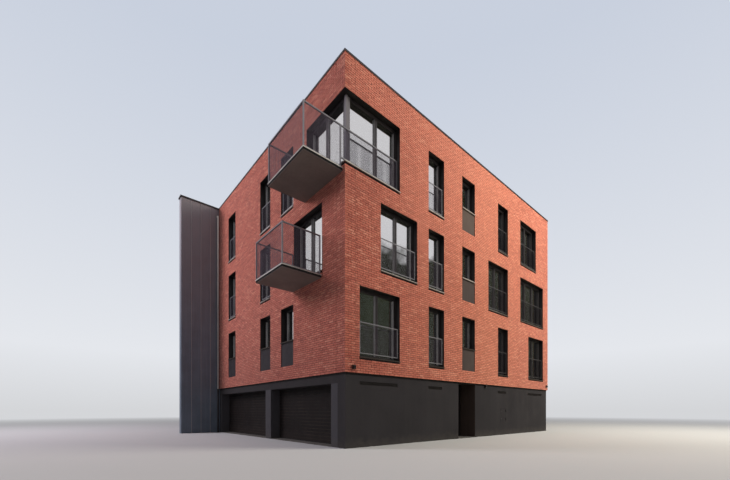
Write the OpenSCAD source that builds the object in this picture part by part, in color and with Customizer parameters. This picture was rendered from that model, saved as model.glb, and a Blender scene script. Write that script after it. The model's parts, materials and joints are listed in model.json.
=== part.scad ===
// Apartment block with three clinker brick storeys over a dark rendered base.
// x runs along the entrance front, y along the garage side and z is up.
// The origin is at ground level under the middle of the brick block.
// Every facade is drawn in its own frame: x along the facade, y as depth behind
// the outer brick face, z up. Depths below zero stand out from the brick.

/* [Block] */
// Length of the entrance front over the brick
body_l = 15550; // [15500:50:19000]
// Depth of the block along the garage side
body_w = 15550; // [15300:50:19000]
// Height of the dark base up to the brick
base_h = 2470; // [2400:10:3000]
// Height from one window sill to the next
storey_h = 3100; // [2750:10:3800]
// Height of the parapet top above the upper windows
parapet_rise = 1220; // [1100:10:1800]
// Thickness of the brick storeys' outer walls
wall_t = 450; // [400:10:520]
// Thickness of the base walls
base_wall_t = 420; // [380:10:500]
// How far the base stands back behind the brick
base_setback = 60; // [20:5:120]
// Thickness of the upper floors
floor_t = 400; // [250:10:450]
// Height of the first sill above the bottom of the brick
sill_rise = 540; // [500:10:700]

/* [Windows] */
// Width of one bay of the wide windows on the entrance front
bay = 960; // [780:10:1020]
// Width of the single windows
single_w = 1010; // [800:10:1050]
// Height of a full window opening
window_h = 2370; // [2000:10:2400]
// Height of the panel under the short windows
panel_h = 980; // [700:10:1200]
// Depth from the brick face to the window frames
frame_recess = 210; // [180:10:320]
// Height of the window guards above the bottom of the opening
guard_h = 1200; // [1000:10:1300]
// Width of the corner window along the entrance front
corner_front_w = 2540; // [2300:10:3000]
// Width of the corner window along the garage side
corner_side_w = 2320; // [2000:10:2600]
// Width of the leaf by the far jamb on each side of the corner window
corner_leaf = 1010; // [800:10:1200]

/* [Window places] */
// First column of the front, from the near corner
col_a = 610; // [550:10:700]
// Second column of the front
col_b = 4190; // [4100:10:4400]
// Column over the entrance
col_c = 6510; // [6300:10:6700]
// Fourth column of the front
col_d = 8700; // [8600:5:8900]
// Fifth column of the front
col_e = 11995; // [11700:5:12050]
// Balcony door on the garage side, from the near corner
col_door = 1300; // [1200:10:1400]
// Width of the balcony door opening
door_opening_w = 1950; // [1600:10:1960]
// First window column of the garage side
col_f = 3295; // [3250:5:3600]
// Second window column of the garage side
col_g = 5285; // [5000:5:5600]
// Third window column of the garage side
col_h = 9270; // [8800:10:9700]

/* [Balconies] */
// How far the upper balcony stands out from the brick
upper_out = 1460; // [1200:10:1800]
// How far the lower balcony stands out from the brick
lower_out = 1515; // [1200:5:1800]
// Thickness of a balcony slab
balcony_t = 100; // [80:5:220]
// Height of the balcony railings above the sills
rail_h = 1210; // [1000:10:1250]
// Distance of the railing plane behind the near corner
rail_setback = 120; // [60:5:150]
// Length of the upper balcony along the wall
upper_balcony_l = 2320; // [2100:10:2600]

/* [Garage and entrance] */
// Near edge of the second garage opening, from the near corner
garage_a = 850; // [700:10:1000]
// Width of the second garage opening
garage_a_w = 4510; // [4000:10:4600]
// Width of the pier between the garage openings
garage_pier = 520; // [400:10:700]
// Width of the first garage opening
garage_b_w = 5610; // [4500:10:5700]
// Height of the garage openings
garage_h = 2140; // [2000:5:2200]
// Left edge of the entrance recess, from the near corner
entrance_x = 6315; // [6000:5:6600]
// Width of the entrance recess
entrance_w = 1320; // [1200:10:1500]
// Depth of the entrance recess behind the base
entrance_depth = 780; // [700:10:1200]
// Left edge of the meter cabinet
cabinet_x = 9960; // [9300:10:10400]
// Width of the meter cabinet opening
cabinet_w = 560; // [450:10:700]
// Height of the meter cabinet opening
cabinet_h = 700; // [600:10:900]
// Height of the meter cabinet above the ground
cabinet_z = 655; // [500:5:800]

/* [Screen wall] */
// Start of the clad screen wall along the garage side
screen_y = 11820; // [11700:10:12500]
// How far the screen wall stands out from the brick
screen_out = 1970; // [1500:10:2500]
// Thickness of the screen wall
screen_t = 360; // [300:10:500]
// Distance between the standing seams
seam_pitch = 490; // [300:5:600]

/* [Hidden] */
$fn = 48;

// Colours as the photograph shows them
brick_c = [0.66, 0.33, 0.26];
render_c = [0.24, 0.22, 0.22];
concrete_c = [0.6, 0.59, 0.57];
dark_metal_c = [0.16, 0.16, 0.17];
cladding_c = [0.26, 0.25, 0.27];
rail_c = [0.45, 0.44, 0.46];
soffit_c = [0.25, 0.21, 0.19];
glass_c = [0.35, 0.42, 0.46, 0.6];
panel_c = [0.33, 0.3, 0.29];
door_c = [0.13, 0.12, 0.12];
zinc_c = [0.62, 0.62, 0.64];

// Levels
storeys = 3;
slab_t = 25;
cap_t = 30;
floor_drop = 50;
split_drop = 360;
top_z = sill(storeys) + window_h + parapet_rise;
wall_top = top_z - cap_t;
roof_rise = 500;
roof_z = sill(storeys) + window_h + roof_rise;
roof_t = 400;

// Overlap of cuts with what they cut, and of pieces joined into one solid
lap = 1;

function sill(k) = base_h + sill_rise + (k - 1) * storey_h;
function floor_top(k) = sill(k) - floor_drop;
function split(k) = k == 1 ? base_h : (k > storeys ? wall_top : sill(k) - split_drop);

// An opening is its storey, start, width, number of panes and whether a panel fills its foot
OP_STOREY = 0;
OP_START = 1;
OP_WIDTH = 2;
OP_PANES = 3;
OP_PANEL = 4;

front_windows = [
    [1, col_a, 2 * bay, 2, false],
    [1, col_b, single_w, 1, false],
    [1, col_c, single_w, 1, true],
    [1, col_d + 2 * bay - single_w, single_w, 1, false],
    [1, col_e + bay, 2 * bay, 2, false],
    [2, col_a + bay, 2 * bay, 2, false],
    [2, col_b, single_w, 1, false],
    [2, col_c, single_w, 1, true],
    [2, col_d, 2 * bay, 2, false],
    [2, col_e, 3 * bay, 3, false],
    [3, col_b, single_w, 1, false],
    [3, col_c, single_w, 1, true],
    [3, col_d + 2 * bay - single_w, single_w, 1, false],
    [3, col_e, 2 * bay, 2, false]
];
left_windows = [
    [1, col_f, single_w, 1, true],
    [1, col_g, single_w, 1, true],
    [1, col_h, single_w, 1, true],
    [2, col_g, single_w, 1, false],
    [2, col_h, single_w, 1, false],
    [3, col_f, single_w, 1, false],
    [3, col_g, single_w, 1, false],
    [3, col_h, single_w, 1, false]
];
balcony_doors = [
    [2, col_door, door_opening_w, 2, false]
];
// The back repeats these columns on each storey: start, width, panes and whether a panel fills the foot
back_columns = [
    [col_a + bay, 2 * bay, 2, false],
    [col_b, single_w, 1, false],
    [col_c, single_w, 1, true],
    [col_d, 2 * bay, 2, false],
    [col_e, 2 * bay, 2, false]
];
back_windows = [
    for (k = [1:storeys])
        for (c = back_columns)
            [k, c[0], c[1], c[2], c[3]]
];
right_columns = [col_f - single_w, col_g, col_h, col_h + 3 * single_w];
right_windows = [
    for (k = [1:storeys])
        for (x = right_columns)
            [k, x, single_w, 1, false]
];

function foot(w) = sill(w[OP_STOREY]) + (w[OP_PANEL] ? panel_h : 0);
function head(w) = sill(w[OP_STOREY]) + window_h;

// Facade frames
module on_front() {
    translate([-body_l / 2, -body_w / 2, 0]) children();
}

module on_left() {
    translate([-body_l / 2, -body_w / 2, 0]) mirror([1, -1, 0]) children();
}

module on_back() {
    translate([body_l / 2, body_w / 2, 0]) rotate([0, 0, 180]) children();
}

module on_right() {
    translate([body_l / 2, -body_w / 2, 0]) rotate([0, 0, 90]) children();
}

// Stands a drawing in x and z upright, from depth y to y + t
module upright(y, t) {
    translate([0, y + t, 0]) rotate([90, 0, 0]) linear_extrude(height = t) children();
}

// Runs a profile in y and z along x for a length
module run_along(x, length) {
    translate([x, 0, 0]) rotate([90, 0, 90]) linear_extrude(height = length) children();
}

module box(x, y, z) {
    translate([x[0], y[0], z[0]]) cube([x[1] - x[0], y[1] - y[0], z[1] - z[0]]);
}

module rect(x, z) {
    translate([x[0], z[0]]) square([x[1] - x[0], z[1] - z[0]]);
}

// Base storey
inner_edge = base_setback + base_wall_t;
garage_b = garage_a + garage_a_w + garage_pier;
garage_end = garage_b + garage_b_w;
slot_inset = 50;
slot_h = 120;
slot_drop = 380;
slot_z = base_h - slot_drop;
slot_d = 60;
slots = [[col_a, 2 * bay], [col_b, single_w], [col_d + bay, bay], [col_e + bay, 2 * bay]];
cabinet_d = 240;

module ground_slab() {
    color(concrete_c) {
        linear_extrude(height = slab_t) {
            translate([-body_l / 2, -body_w / 2]) {
                rect([inner_edge, body_l - inner_edge], [inner_edge, body_w - inner_edge]);
                rect([entrance_x, entrance_x + entrance_w], [base_setback, inner_edge + lap]);
                rect([base_setback, inner_edge + lap], [garage_a, garage_a + garage_a_w]);
                rect([base_setback, inner_edge + lap], [garage_b, garage_end]);
            }
        }
    }
}

module base_front(x0, x1) {
    on_front() difference() {
        upright(base_setback, base_wall_t) rect([x0, x1], [0, base_h]);
        for (s = slots)
            if (s[0] > x0 && s[0] < x1)
                box([s[0] + slot_inset, s[0] + s[1] - slot_inset],
                    [base_setback - lap, base_setback + slot_d], [slot_z, slot_z + slot_h]);
        if (x0 < cabinet_x && cabinet_x < x1)
            box([cabinet_x, cabinet_x + cabinet_w], [base_setback - lap, base_setback + cabinet_d],
                [cabinet_z, cabinet_z + cabinet_h]);
    }
}

module base_front_left() {
    color(render_c) base_front(base_setback, entrance_x);
}

module base_front_right() {
    color(render_c) base_front(entrance_x + entrance_w, body_l - base_setback);
}

module garage_piers() {
    color(render_c) on_left() upright(base_setback, base_wall_t) {
        rect([inner_edge, garage_a], [0, garage_h]);
        rect([garage_a + garage_a_w, garage_b], [0, garage_h]);
        rect([garage_end, body_w - inner_edge], [0, garage_h]);
    }
}

module garage_lintel() {
    color(render_c) on_left() upright(base_setback, base_wall_t)
        rect([inner_edge, body_w - inner_edge], [garage_h, base_h]);
}

module base_back() {
    color(render_c) on_back() upright(base_setback, base_wall_t)
        rect([base_setback, body_l - base_setback], [0, base_h]);
}

module base_right() {
    color(render_c) on_right() upright(base_setback, base_wall_t)
        rect([inner_edge, body_w - inner_edge], [0, base_h]);
}

cheek_t = 150;
cheek_over = 20;
entrance_frame_d = 90;
niche_y = base_setback + entrance_depth;
niche_end = niche_y + entrance_frame_d + cheek_over;
entrance_end = entrance_x + entrance_w;

module entrance_niche() {
    color(render_c) on_front() {
        box([entrance_x - cheek_t, entrance_x], [inner_edge, niche_end], [slab_t, base_h]);
        box([entrance_end, entrance_end + cheek_t], [inner_edge, niche_end], [slab_t, base_h]);
    }
}

// Floors and roof fit between the brick walls
module floor_plate(z0, z1) {
    color(concrete_c) translate([0, 0, z0]) linear_extrude(height = z1 - z0)
        square([body_l - 2 * wall_t, body_w - 2 * wall_t], center = true);
}

module floor_1() {
    floor_plate(base_h, floor_top(1));
}

module floor_2() {
    floor_plate(floor_top(2) - floor_t, floor_top(2));
}

module floor_3() {
    floor_plate(floor_top(3) - floor_t, floor_top(3));
}

module roof_slab() {
    floor_plate(roof_z - roof_t, roof_z);
}

// Brick walls
panel_y = 15;
panel_t = 60;

module wall(x0, x1, z0, z1, windows) {
    difference() {
        upright(0, wall_t) difference() {
            rect([x0, x1], [z0, z1]);
            for (w = windows)
                rect([w[OP_START], w[OP_START] + w[OP_WIDTH]], [foot(w), head(w)]);
        }
        for (w = windows)
            if (w[OP_PANEL])
                box([w[OP_START], w[OP_START] + w[OP_WIDTH]], [-lap, panel_y + panel_t],
                    [sill(w[OP_STOREY]), foot(w) + lap]);
    }
}

function on_storey(list, k) = [for (w = list) if (w[OP_STOREY] == k) w];

corner_cut = [3, -lap, corner_front_w + lap, 2, false];
side_cut = [3, 0, corner_side_w, 2, false];

module front_wall(k, extra) {
    color(brick_c) on_front()
        wall(0, body_l, split(k), split(k + 1), concat(on_storey(front_windows, k), extra));
}

module left_wall(k, extra) {
    color(brick_c) on_left()
        wall(wall_t, body_w - wall_t, split(k), split(k + 1), concat(on_storey(left_windows, k), extra));
}

module front_wall_1() {
    front_wall(1, []);
}

module front_wall_2() {
    front_wall(2, []);
}

module front_wall_3() {
    front_wall(3, [corner_cut]);
}

module left_wall_1() {
    left_wall(1, []);
}

module left_wall_2() {
    left_wall(2, balcony_doors);
}

module left_wall_3() {
    left_wall(3, [side_cut]);
}

module back_wall() {
    color(brick_c) on_back() wall(0, body_l, base_h, wall_top, back_windows);
}

module right_wall() {
    color(brick_c) on_right() wall(wall_t, body_w - wall_t, base_h, wall_top, right_windows);
}

// Coping in mitred lengths with open butt joints
cap_out = 20;
cap_drip = 70;
cap_drip_t = 14;
cap_gap = 4;

module cap_ring(l, w) {
    linear_extrude(height = cap_t) difference() {
        square([l + 2 * cap_out, w + 2 * cap_out], center = true);
        square([l - 2 * wall_t - 2 * cap_out, w - 2 * wall_t - 2 * cap_out], center = true);
    }
    translate([0, 0, cap_t - cap_drip]) linear_extrude(height = cap_drip - cap_t + lap) difference() {
        square([l + 2 * cap_out, w + 2 * cap_out], center = true);
        square([l + 2 * cap_out - 2 * cap_drip_t, w + 2 * cap_out - 2 * cap_drip_t], center = true);
    }
}

module coping() {
    color(dark_metal_c) translate([0, 0, wall_top]) difference() {
        cap_ring(body_l, body_w);
        for (s = [-1, 1])
            for (t = [-1, 1])
                translate([s * body_l / 2, t * body_w / 2, -cap_drip])
                    rotate([0, 0, s * t * 45])
                        translate([-3 * wall_t, -cap_gap / 2, 0])
                            cube([6 * wall_t, cap_gap, 2 * cap_drip]);
        translate([-body_l / 2, -body_w / 2 + screen_y, -cap_drip])
            translate([-2 * cap_out, -cap_rim - cap_gap, 0])
                cube([2 * cap_out, screen_t + 2 * (cap_rim + cap_gap), 2 * cap_drip]);
    }
}

// Clad screen wall that stands out from the garage side at its far end
seam_w = 14;
seam_out = 26;
cap_rim = seam_out + cap_out;

module screen_plan(inner) {
    rect([-screen_out, inner], [0, screen_t]);
    for (i = [1:floor((screen_out - seam_w) / seam_pitch)])
        rect([-i * seam_pitch, -i * seam_pitch + seam_w], [-seam_out, screen_t + seam_out]);
}

module screen_wall() {
    color(cladding_c) translate([-body_l / 2, -body_w / 2 + screen_y, 0]) {
        linear_extrude(height = wall_top) screen_plan(0);
        linear_extrude(height = base_h) screen_plan(base_setback);
    }
}

module screen_cap() {
    lip = cap_rim - cap_drip_t;
    color(dark_metal_c) translate([-body_l / 2, -body_w / 2 + screen_y, wall_top]) {
        linear_extrude(height = cap_t)
            rect([-screen_out - cap_rim, -cap_gap], [-cap_rim, screen_t + cap_rim]);
        translate([0, 0, cap_t - cap_drip]) linear_extrude(height = cap_drip - cap_t + lap) difference() {
            rect([-screen_out - cap_rim, -cap_gap], [-cap_rim, screen_t + cap_rim]);
            rect([-screen_out - lip, lap], [-lip, screen_t + lip]);
        }
    }
}

// Balconies
rail_s = 40;
mesh_t = 4;
flash_out = 15;
flash_t = 20;
mesh_inset = (rail_s - mesh_t) / 2;
corner_post_x = -60;
corner_rail_z = 140;
sill_clear = 5;
lower_in = 30;
lower_past = 20;
lower_start = col_door + lower_in;
lower_l = door_opening_w + lower_in + lower_past;
balcony_drop = 160;

function balcony_top(k) = sill(k) - balcony_drop;
function corner_rail_end() = corner_front_w - lining_t;
function lower_rail_end() = -sill_out - sill_clear;

module balcony(k, start, length, out) {
    top = balcony_top(k);
    color(soffit_c) on_left() {
        box([start, start + length], [-out, 0], [top - balcony_t, top - flash_t]);
        box([start - flash_out, start + length + flash_out], [-out - flash_out, 0],
            [top - flash_t, top]);
    }
}

// One railing bay in the x and z plane: posts at the ends, rails at foot and top
module railing_bay(x0, x1, z0, z1) {
    difference() {
        rect([x0, x1], [z0, z1]);
        rect([x0 + rail_s, x1 - rail_s], [z0 + rail_s, z1 - rail_s]);
    }
}

module mesh_bay(x0, x1, z0, z1) {
    rect([x0 + rail_s, x1 - rail_s], [z0 + rail_s, z1 - rail_s]);
}

// Outer bay, and a bay back to the wall at each end, the near one up to near_x
module balcony_railing(k, start, length, out, near_x) {
    z0 = balcony_top(k);
    z1 = sill(k) + rail_h;
    color(rail_c) {
        on_left() upright(-out, rail_s) railing_bay(start, start + length, z0, z1);
        on_front() {
            upright(start, rail_s) railing_bay(-out, near_x, z0, z1);
            upright(start + length - rail_s, rail_s) railing_bay(-out, 0, z0, z1);
        }
    }
}

module balcony_mesh(k, start, length, out, near_x) {
    z0 = balcony_top(k);
    z1 = sill(k) + rail_h;
    color(rail_c) {
        on_left() upright(-out + mesh_inset, mesh_t) mesh_bay(start, start + length, z0, z1);
        on_front() {
            upright(start + mesh_inset, mesh_t) mesh_bay(-out, near_x, z0, z1);
            upright(start + length - rail_s + mesh_inset, mesh_t) mesh_bay(-out, 0, z0, z1);
        }
    }
}

module upper_balcony() {
    balcony(3, rail_setback, upper_balcony_l, upper_out);
}

// The near bay of the upper balcony runs on past the corner window
module upper_railing() {
    balcony_railing(3, rail_setback, upper_balcony_l, upper_out, corner_post_x);
    color(rail_c) on_front() upright(rail_setback, rail_s)
        railing_bay(corner_post_x - rail_s, corner_rail_end(), sill(3) + corner_rail_z, sill(3) + rail_h);
}

module upper_mesh() {
    balcony_mesh(3, rail_setback, upper_balcony_l, upper_out, corner_post_x);
    color(rail_c) on_front() upright(rail_setback + mesh_inset, mesh_t)
        mesh_bay(corner_post_x - rail_s, corner_rail_end(), sill(3) + corner_rail_z, sill(3) + rail_h);
}

module lower_balcony() {
    balcony(2, lower_start, lower_l, lower_out);
}

module lower_railing() {
    balcony_railing(2, lower_start, lower_l, lower_out, lower_rail_end());
}

module lower_mesh() {
    balcony_mesh(2, lower_start, lower_l, lower_out, lower_rail_end());
}

// Windows
frame_d = 84;
frame_w = 60;
sash_w = 50;
sash_in = 4;
glass_t = 24;
glass_y = frame_recess + frame_d - sash_in - glass_t;
mullion_w = 20;
post_s = 90;
post_y = frame_recess - 40;

// Panes are equal, or with a leaf width given the second of two has it and the first the rest
function even_w(w, panes) = (w - 2 * frame_w - (panes - 1) * mullion_w) / panes;
function pane_x(w, panes, i, leaf) =
    leaf == 0 || i == 0 ? frame_w + i * (even_w(w, panes) + mullion_w) : w - leaf + mullion_w / 2;
function pane_w(w, panes, i, leaf) =
    leaf == 0 ? even_w(w, panes) : (i == 0 ? w - leaf : leaf) - frame_w - mullion_w / 2;
function pane_span(w, panes, i, leaf, in) =
    [pane_x(w, panes, i, leaf) + in, pane_x(w, panes, i, leaf) + pane_w(w, panes, i, leaf) - in];

// A window's frame with one sash to each pane, as one solid
module window_frame(w, h, panes, leaf = 0) {
    upright(frame_recess, frame_d) difference() {
        square([w, h]);
        for (i = [0:panes - 1]) rect(pane_span(w, panes, i, leaf, 0), [frame_w, h - frame_w]);
    }
    upright(frame_recess + sash_in, frame_d - 2 * sash_in) for (i = [0:panes - 1])
        difference() {
            rect(pane_span(w, panes, i, leaf, -lap), [frame_w - lap, h - frame_w + lap]);
            rect(pane_span(w, panes, i, leaf, sash_w), [frame_w + sash_w, h - frame_w - sash_w]);
        }
}

module window_glass(w, h, panes, leaf = 0) {
    upright(glass_y, glass_t) for (i = [0:panes - 1])
        rect(pane_span(w, panes, i, leaf, sash_w), [frame_w + sash_w, h - frame_w - sash_w]);
}

module frames(windows) {
    for (w = windows)
        translate([w[OP_START], 0, foot(w)]) window_frame(w[OP_WIDTH], head(w) - foot(w), w[OP_PANES]);
}

module glazing(windows) {
    for (w = windows)
        translate([w[OP_START], 0, foot(w)]) window_glass(w[OP_WIDTH], head(w) - foot(w), w[OP_PANES]);
}

module front_frames() {
    color(dark_metal_c) on_front() frames(front_windows);
}

module left_frames() {
    color(dark_metal_c) on_left() frames(concat(left_windows, balcony_doors));
}

module rear_frames() {
    color(dark_metal_c) on_back() frames(back_windows);
    color(dark_metal_c) on_right() frames(right_windows);
}

module front_glass() {
    color(glass_c) on_front() glazing(front_windows);
}

module left_glass() {
    color(glass_c) on_left() glazing(concat(left_windows, balcony_doors));
}

module rear_glass() {
    color(glass_c) on_back() glazing(back_windows);
    color(glass_c) on_right() glazing(right_windows);
}

corner_x = post_y + post_s;

module past_post() {
    translate([corner_x, 0, sill(3)]) children();
}

module corner_frame() {
    color(dark_metal_c) {
        on_front() past_post() window_frame(corner_front_w - corner_x, window_h, 2, corner_leaf);
        on_left() past_post() window_frame(corner_side_w - corner_x, window_h, 2, corner_leaf);
        on_front() box([post_y, corner_x], [post_y, corner_x], [sill(3), sill(3) + window_h]);
    }
}

module corner_glass() {
    color(glass_c) {
        on_front() past_post() window_glass(corner_front_w - corner_x, window_h, 2, corner_leaf);
        on_left() past_post() window_glass(corner_side_w - corner_x, window_h, 2, corner_leaf);
    }
}

// Metal sills with a drip edge
sill_out = 40;
sill_lip_t = 12;
sill_lip_h = 25;
sill_back_h = 42;
sill_front_h = 14;

module sill_profile() {
    polygon([
        [-sill_out, -sill_lip_h], [-sill_out + sill_lip_t, -sill_lip_h], [-sill_out + sill_lip_t, 0],
        [frame_recess, 0], [frame_recess, sill_back_h], [-sill_out, sill_front_h]
    ]);
}

module sills(windows) {
    for (w = windows)
        translate([0, 0, foot(w)]) run_along(w[OP_START], w[OP_WIDTH]) sill_profile();
}

// The corner sill turns round the near corner in one piece
module corner_sill() {
    on_front() translate([0, 0, sill(3)]) difference() {
        union() {
            run_along(-sill_out, corner_front_w + sill_out) sill_profile();
            mirror([1, -1, 0]) run_along(-sill_out, corner_side_w + sill_out) sill_profile();
        }
        box([post_y, corner_x], [post_y, corner_x], [-lap, 2 * sill_back_h]);
    }
}

module window_sills() {
    color(zinc_c) {
        on_front() sills(front_windows);
        on_left() sills(concat(left_windows, balcony_doors));
        on_back() sills(back_windows);
        on_right() sills(right_windows);
        corner_sill();
    }
}

// Sheet linings of the reveals: jambs and head between the brick edge and the frame
lining_t = 5;
lining_in = 12;

module lining(w, z0, z1) {
    upright(lining_in, frame_recess - lining_in) difference() {
        rect([0, w], [z0, z1]);
        rect([lining_t, w - lining_t], [z0 - lap, z1 - lining_t]);
    }
}

module linings(windows) {
    for (w = windows)
        translate([w[OP_START], 0, foot(w)]) lining(w[OP_WIDTH], sill_back_h, head(w) - foot(w));
}

// Head of the corner window in one piece round the post, and the two far jambs
module corner_lining() {
    z0 = sill(3) + sill_back_h;
    z1 = sill(3) + window_h;
    difference() {
        union() {
            box([lining_in, corner_front_w], [lining_in, frame_recess], [z1 - lining_t, z1]);
            box([lining_in, frame_recess], [lining_in, corner_side_w], [z1 - lining_t, z1]);
            box([corner_front_w - lining_t, corner_front_w], [lining_in, frame_recess], [z0, z1]);
            box([lining_in, frame_recess], [corner_side_w - lining_t, corner_side_w], [z0, z1]);
        }
        box([post_y, corner_x], [post_y, corner_x], [sill(3), z1 + lap]);
    }
}

module reveal_linings() {
    color(dark_metal_c) {
        on_front() linings(front_windows);
        on_left() linings(concat(left_windows, balcony_doors));
        on_back() linings(back_windows);
        on_right() linings(right_windows);
        on_front() corner_lining();
    }
}

// Guards in the full windows' reveals, held off the jambs by two tabs on each side
guard_y = 58;
guard_foot = 130;
guard_bar = 34;
guard_t = 14;
guard_gap = 45;
guard_tab_h = 24;
guard_tab_in = 180;

module guard_frames(windows) {
    for (w = windows)
        if (!w[OP_PANEL])
            translate([w[OP_START], 0, sill(w[OP_STOREY])]) upright(guard_y, guard_t) difference() {
                union() {
                    rect([guard_gap, w[OP_WIDTH] - guard_gap], [guard_foot, guard_h]);
                    for (z = [guard_foot + guard_tab_in, guard_h - guard_tab_in])
                        rect([lining_t, w[OP_WIDTH] - lining_t], [z, z + guard_tab_h]);
                }
                rect([guard_gap + guard_bar, w[OP_WIDTH] - guard_gap - guard_bar],
                    [guard_foot + guard_bar, guard_h - guard_bar]);
            }
}

module guard_sheets(windows) {
    for (w = windows)
        if (!w[OP_PANEL])
            translate([w[OP_START], 0, sill(w[OP_STOREY])]) upright(guard_y + (guard_t - mesh_t) / 2, mesh_t)
                rect([guard_gap + guard_bar, w[OP_WIDTH] - guard_gap - guard_bar],
                    [guard_foot + guard_bar, guard_h - guard_bar]);
}

module window_guards() {
    color(rail_c) {
        on_front() guard_frames(front_windows);
        on_left() guard_frames(left_windows);
        on_back() guard_frames(back_windows);
        on_right() guard_frames(right_windows);
    }
}

module guard_mesh() {
    color(rail_c) {
        on_front() guard_sheets(front_windows);
        on_left() guard_sheets(left_windows);
        on_back() guard_sheets(back_windows);
        on_right() guard_sheets(right_windows);
    }
}

module panels(windows) {
    for (w = windows)
        if (w[OP_PANEL])
            box([w[OP_START], w[OP_START] + w[OP_WIDTH]], [panel_y, panel_y + panel_t],
                [sill(w[OP_STOREY]), foot(w)]);
}

module spandrel_panels() {
    color(panel_c) {
        on_front() panels(front_windows);
        on_left() panels(left_windows);
        on_back() panels(back_windows);
    }
}

// Hinge barrels: the fixed one carries the pin, the hung one turns on it
barrel_r = 11;
pin_r = 6;
pin_play = 0.3;
barrel_h = 60;
barrel_gap = 1;

module fixed_barrel() {
    cylinder(r = barrel_r, h = barrel_h);
    cylinder(r = pin_r, h = 2 * barrel_h);
}

module pin_bore() {
    translate([0, 0, -lap]) cylinder(r = pin_r + pin_play, h = barrel_h + 2 * lap);
}

module hung_barrel() {
    translate([0, 0, barrel_h + barrel_gap]) difference() {
        cylinder(r = barrel_r, h = barrel_h);
        pin_bore();
    }
}

// Entrance door, hung on the right and swinging in
jamb_w = 110;
door_t = 60;
door_gap = 5;
foot_gap = 8;
free_gap = 9;
door_h = 2100;
stop_w = 20;
stop_t = 20;
hinge_out = 17;
plate_w = 45;
door_x0 = entrance_x + jamb_w + free_gap;
door_x1 = entrance_x + entrance_w - jamb_w - door_gap;
door_y0 = niche_y + entrance_frame_d - door_t;
door_y1 = niche_y + entrance_frame_d;
door_z0 = slab_t + foot_gap;
door_z1 = door_z0 + door_h;
door_axis_x = door_x1 + door_gap / 2;
door_axis_y = door_y1 + hinge_out;
door_hinge_heights = [180, 1000, 1800];
door_hinges = [for (h = door_hinge_heights) door_z0 + h];

module entrance_frame() {
    color(door_c) on_front() {
        upright(niche_y, entrance_frame_d) difference() {
            rect([entrance_x, entrance_x + entrance_w], [slab_t, base_h]);
            rect([door_x0 - free_gap, door_x1 + door_gap], [slab_t - lap, door_z1 + door_gap]);
        }
        upright(niche_y, stop_t) difference() {
            rect([door_x0 - free_gap - lap, door_x1 + door_gap + lap], [slab_t, door_z1 + door_gap + lap]);
            rect([door_x0 - free_gap + stop_w, door_x1 + door_gap - stop_w],
                [slab_t - lap, door_z1 + door_gap - stop_w]);
        }
        for (z = door_hinges) {
            translate([door_axis_x, door_axis_y, z]) fixed_barrel();
            box([door_x1 + door_gap, door_axis_x + plate_w], [door_y1 - lap, door_axis_y], [z, z + barrel_h]);
        }
    }
}

module entrance_door() {
    color(door_c) on_front() {
        box([door_x0, door_x1], [door_y0, door_y1], [door_z0, door_z1]);
        for (z = door_hinges)
            translate([0, 0, z]) {
                translate([door_axis_x, door_axis_y, 0]) hung_barrel();
                translate([0, 0, barrel_h + barrel_gap]) difference() {
                    box([door_axis_x - plate_w, door_x1], [door_y1 - lap, door_axis_y], [0, barrel_h]);
                    translate([door_axis_x, door_axis_y, 0]) pin_bore();
                }
            }
    }
}

// Meter cabinet let into the base, its door flush and hung on the right
liner_t = 12;
leaf_t = 20;
leaf_x0 = cabinet_x + liner_t + free_gap;
leaf_x1 = cabinet_x + cabinet_w - liner_t - door_gap;
leaf_z0 = cabinet_z + liner_t + door_gap;
leaf_z1 = cabinet_z + cabinet_h - liner_t - door_gap;
leaf_axis_x = leaf_x1 + door_gap / 2;
leaf_axis_y = base_setback - hinge_out;
leaf_hinge_in = 60;
leaf_hinges = [leaf_z0 + leaf_hinge_in, leaf_z1 - leaf_hinge_in - 2 * barrel_h];

module cabinet_box() {
    color(dark_metal_c) on_front() {
        difference() {
            box([cabinet_x, cabinet_x + cabinet_w], [base_setback, base_setback + cabinet_d],
                [cabinet_z, cabinet_z + cabinet_h]);
            box([cabinet_x + liner_t, cabinet_x + cabinet_w - liner_t],
                [base_setback - lap, base_setback + cabinet_d - liner_t],
                [cabinet_z + liner_t, cabinet_z + cabinet_h - liner_t]);
        }
        for (z = leaf_hinges) {
            translate([leaf_axis_x, leaf_axis_y, z]) fixed_barrel();
            box([leaf_x1 + door_gap, leaf_x1 + door_gap + liner_t], [leaf_axis_y, base_setback + lap],
                [z, z + barrel_h]);
        }
    }
}

module cabinet_door() {
    color(render_c) on_front() {
        box([leaf_x0, leaf_x1], [base_setback, base_setback + leaf_t], [leaf_z0, leaf_z1]);
        for (z = leaf_hinges)
            translate([0, 0, z]) {
                translate([leaf_axis_x, leaf_axis_y, 0]) hung_barrel();
                translate([0, 0, barrel_h + barrel_gap]) difference() {
                    box([leaf_axis_x - plate_w, leaf_x1], [leaf_axis_y, base_setback + lap], [0, barrel_h]);
                    translate([leaf_axis_x, leaf_axis_y, 0]) pin_bore();
                }
            }
    }
}

// Ribbed garage doors behind the openings
garage_lap = 80;
garage_door_t = 45;
groove_h = 22;
groove_d = 12;
groove_pitch = 130;

module garage_door(x0, x1) {
    top = garage_h + garage_lap;
    run_along(x0, x1 - x0) difference() {
        rect([inner_edge, inner_edge + garage_door_t], [slab_t, top]);
        for (i = [1:floor((top - slab_t) / groove_pitch)])
            rect([inner_edge - lap, inner_edge + groove_d],
                [slab_t + i * groove_pitch - groove_h / 2, slab_t + i * groove_pitch + groove_h / 2]);
    }
}

module garage_doors() {
    color(door_c) on_left() {
        garage_door(garage_a - garage_lap, garage_a + garage_a_w + garage_lap);
        garage_door(garage_b - garage_lap, garage_end + garage_lap);
    }
}

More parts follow.
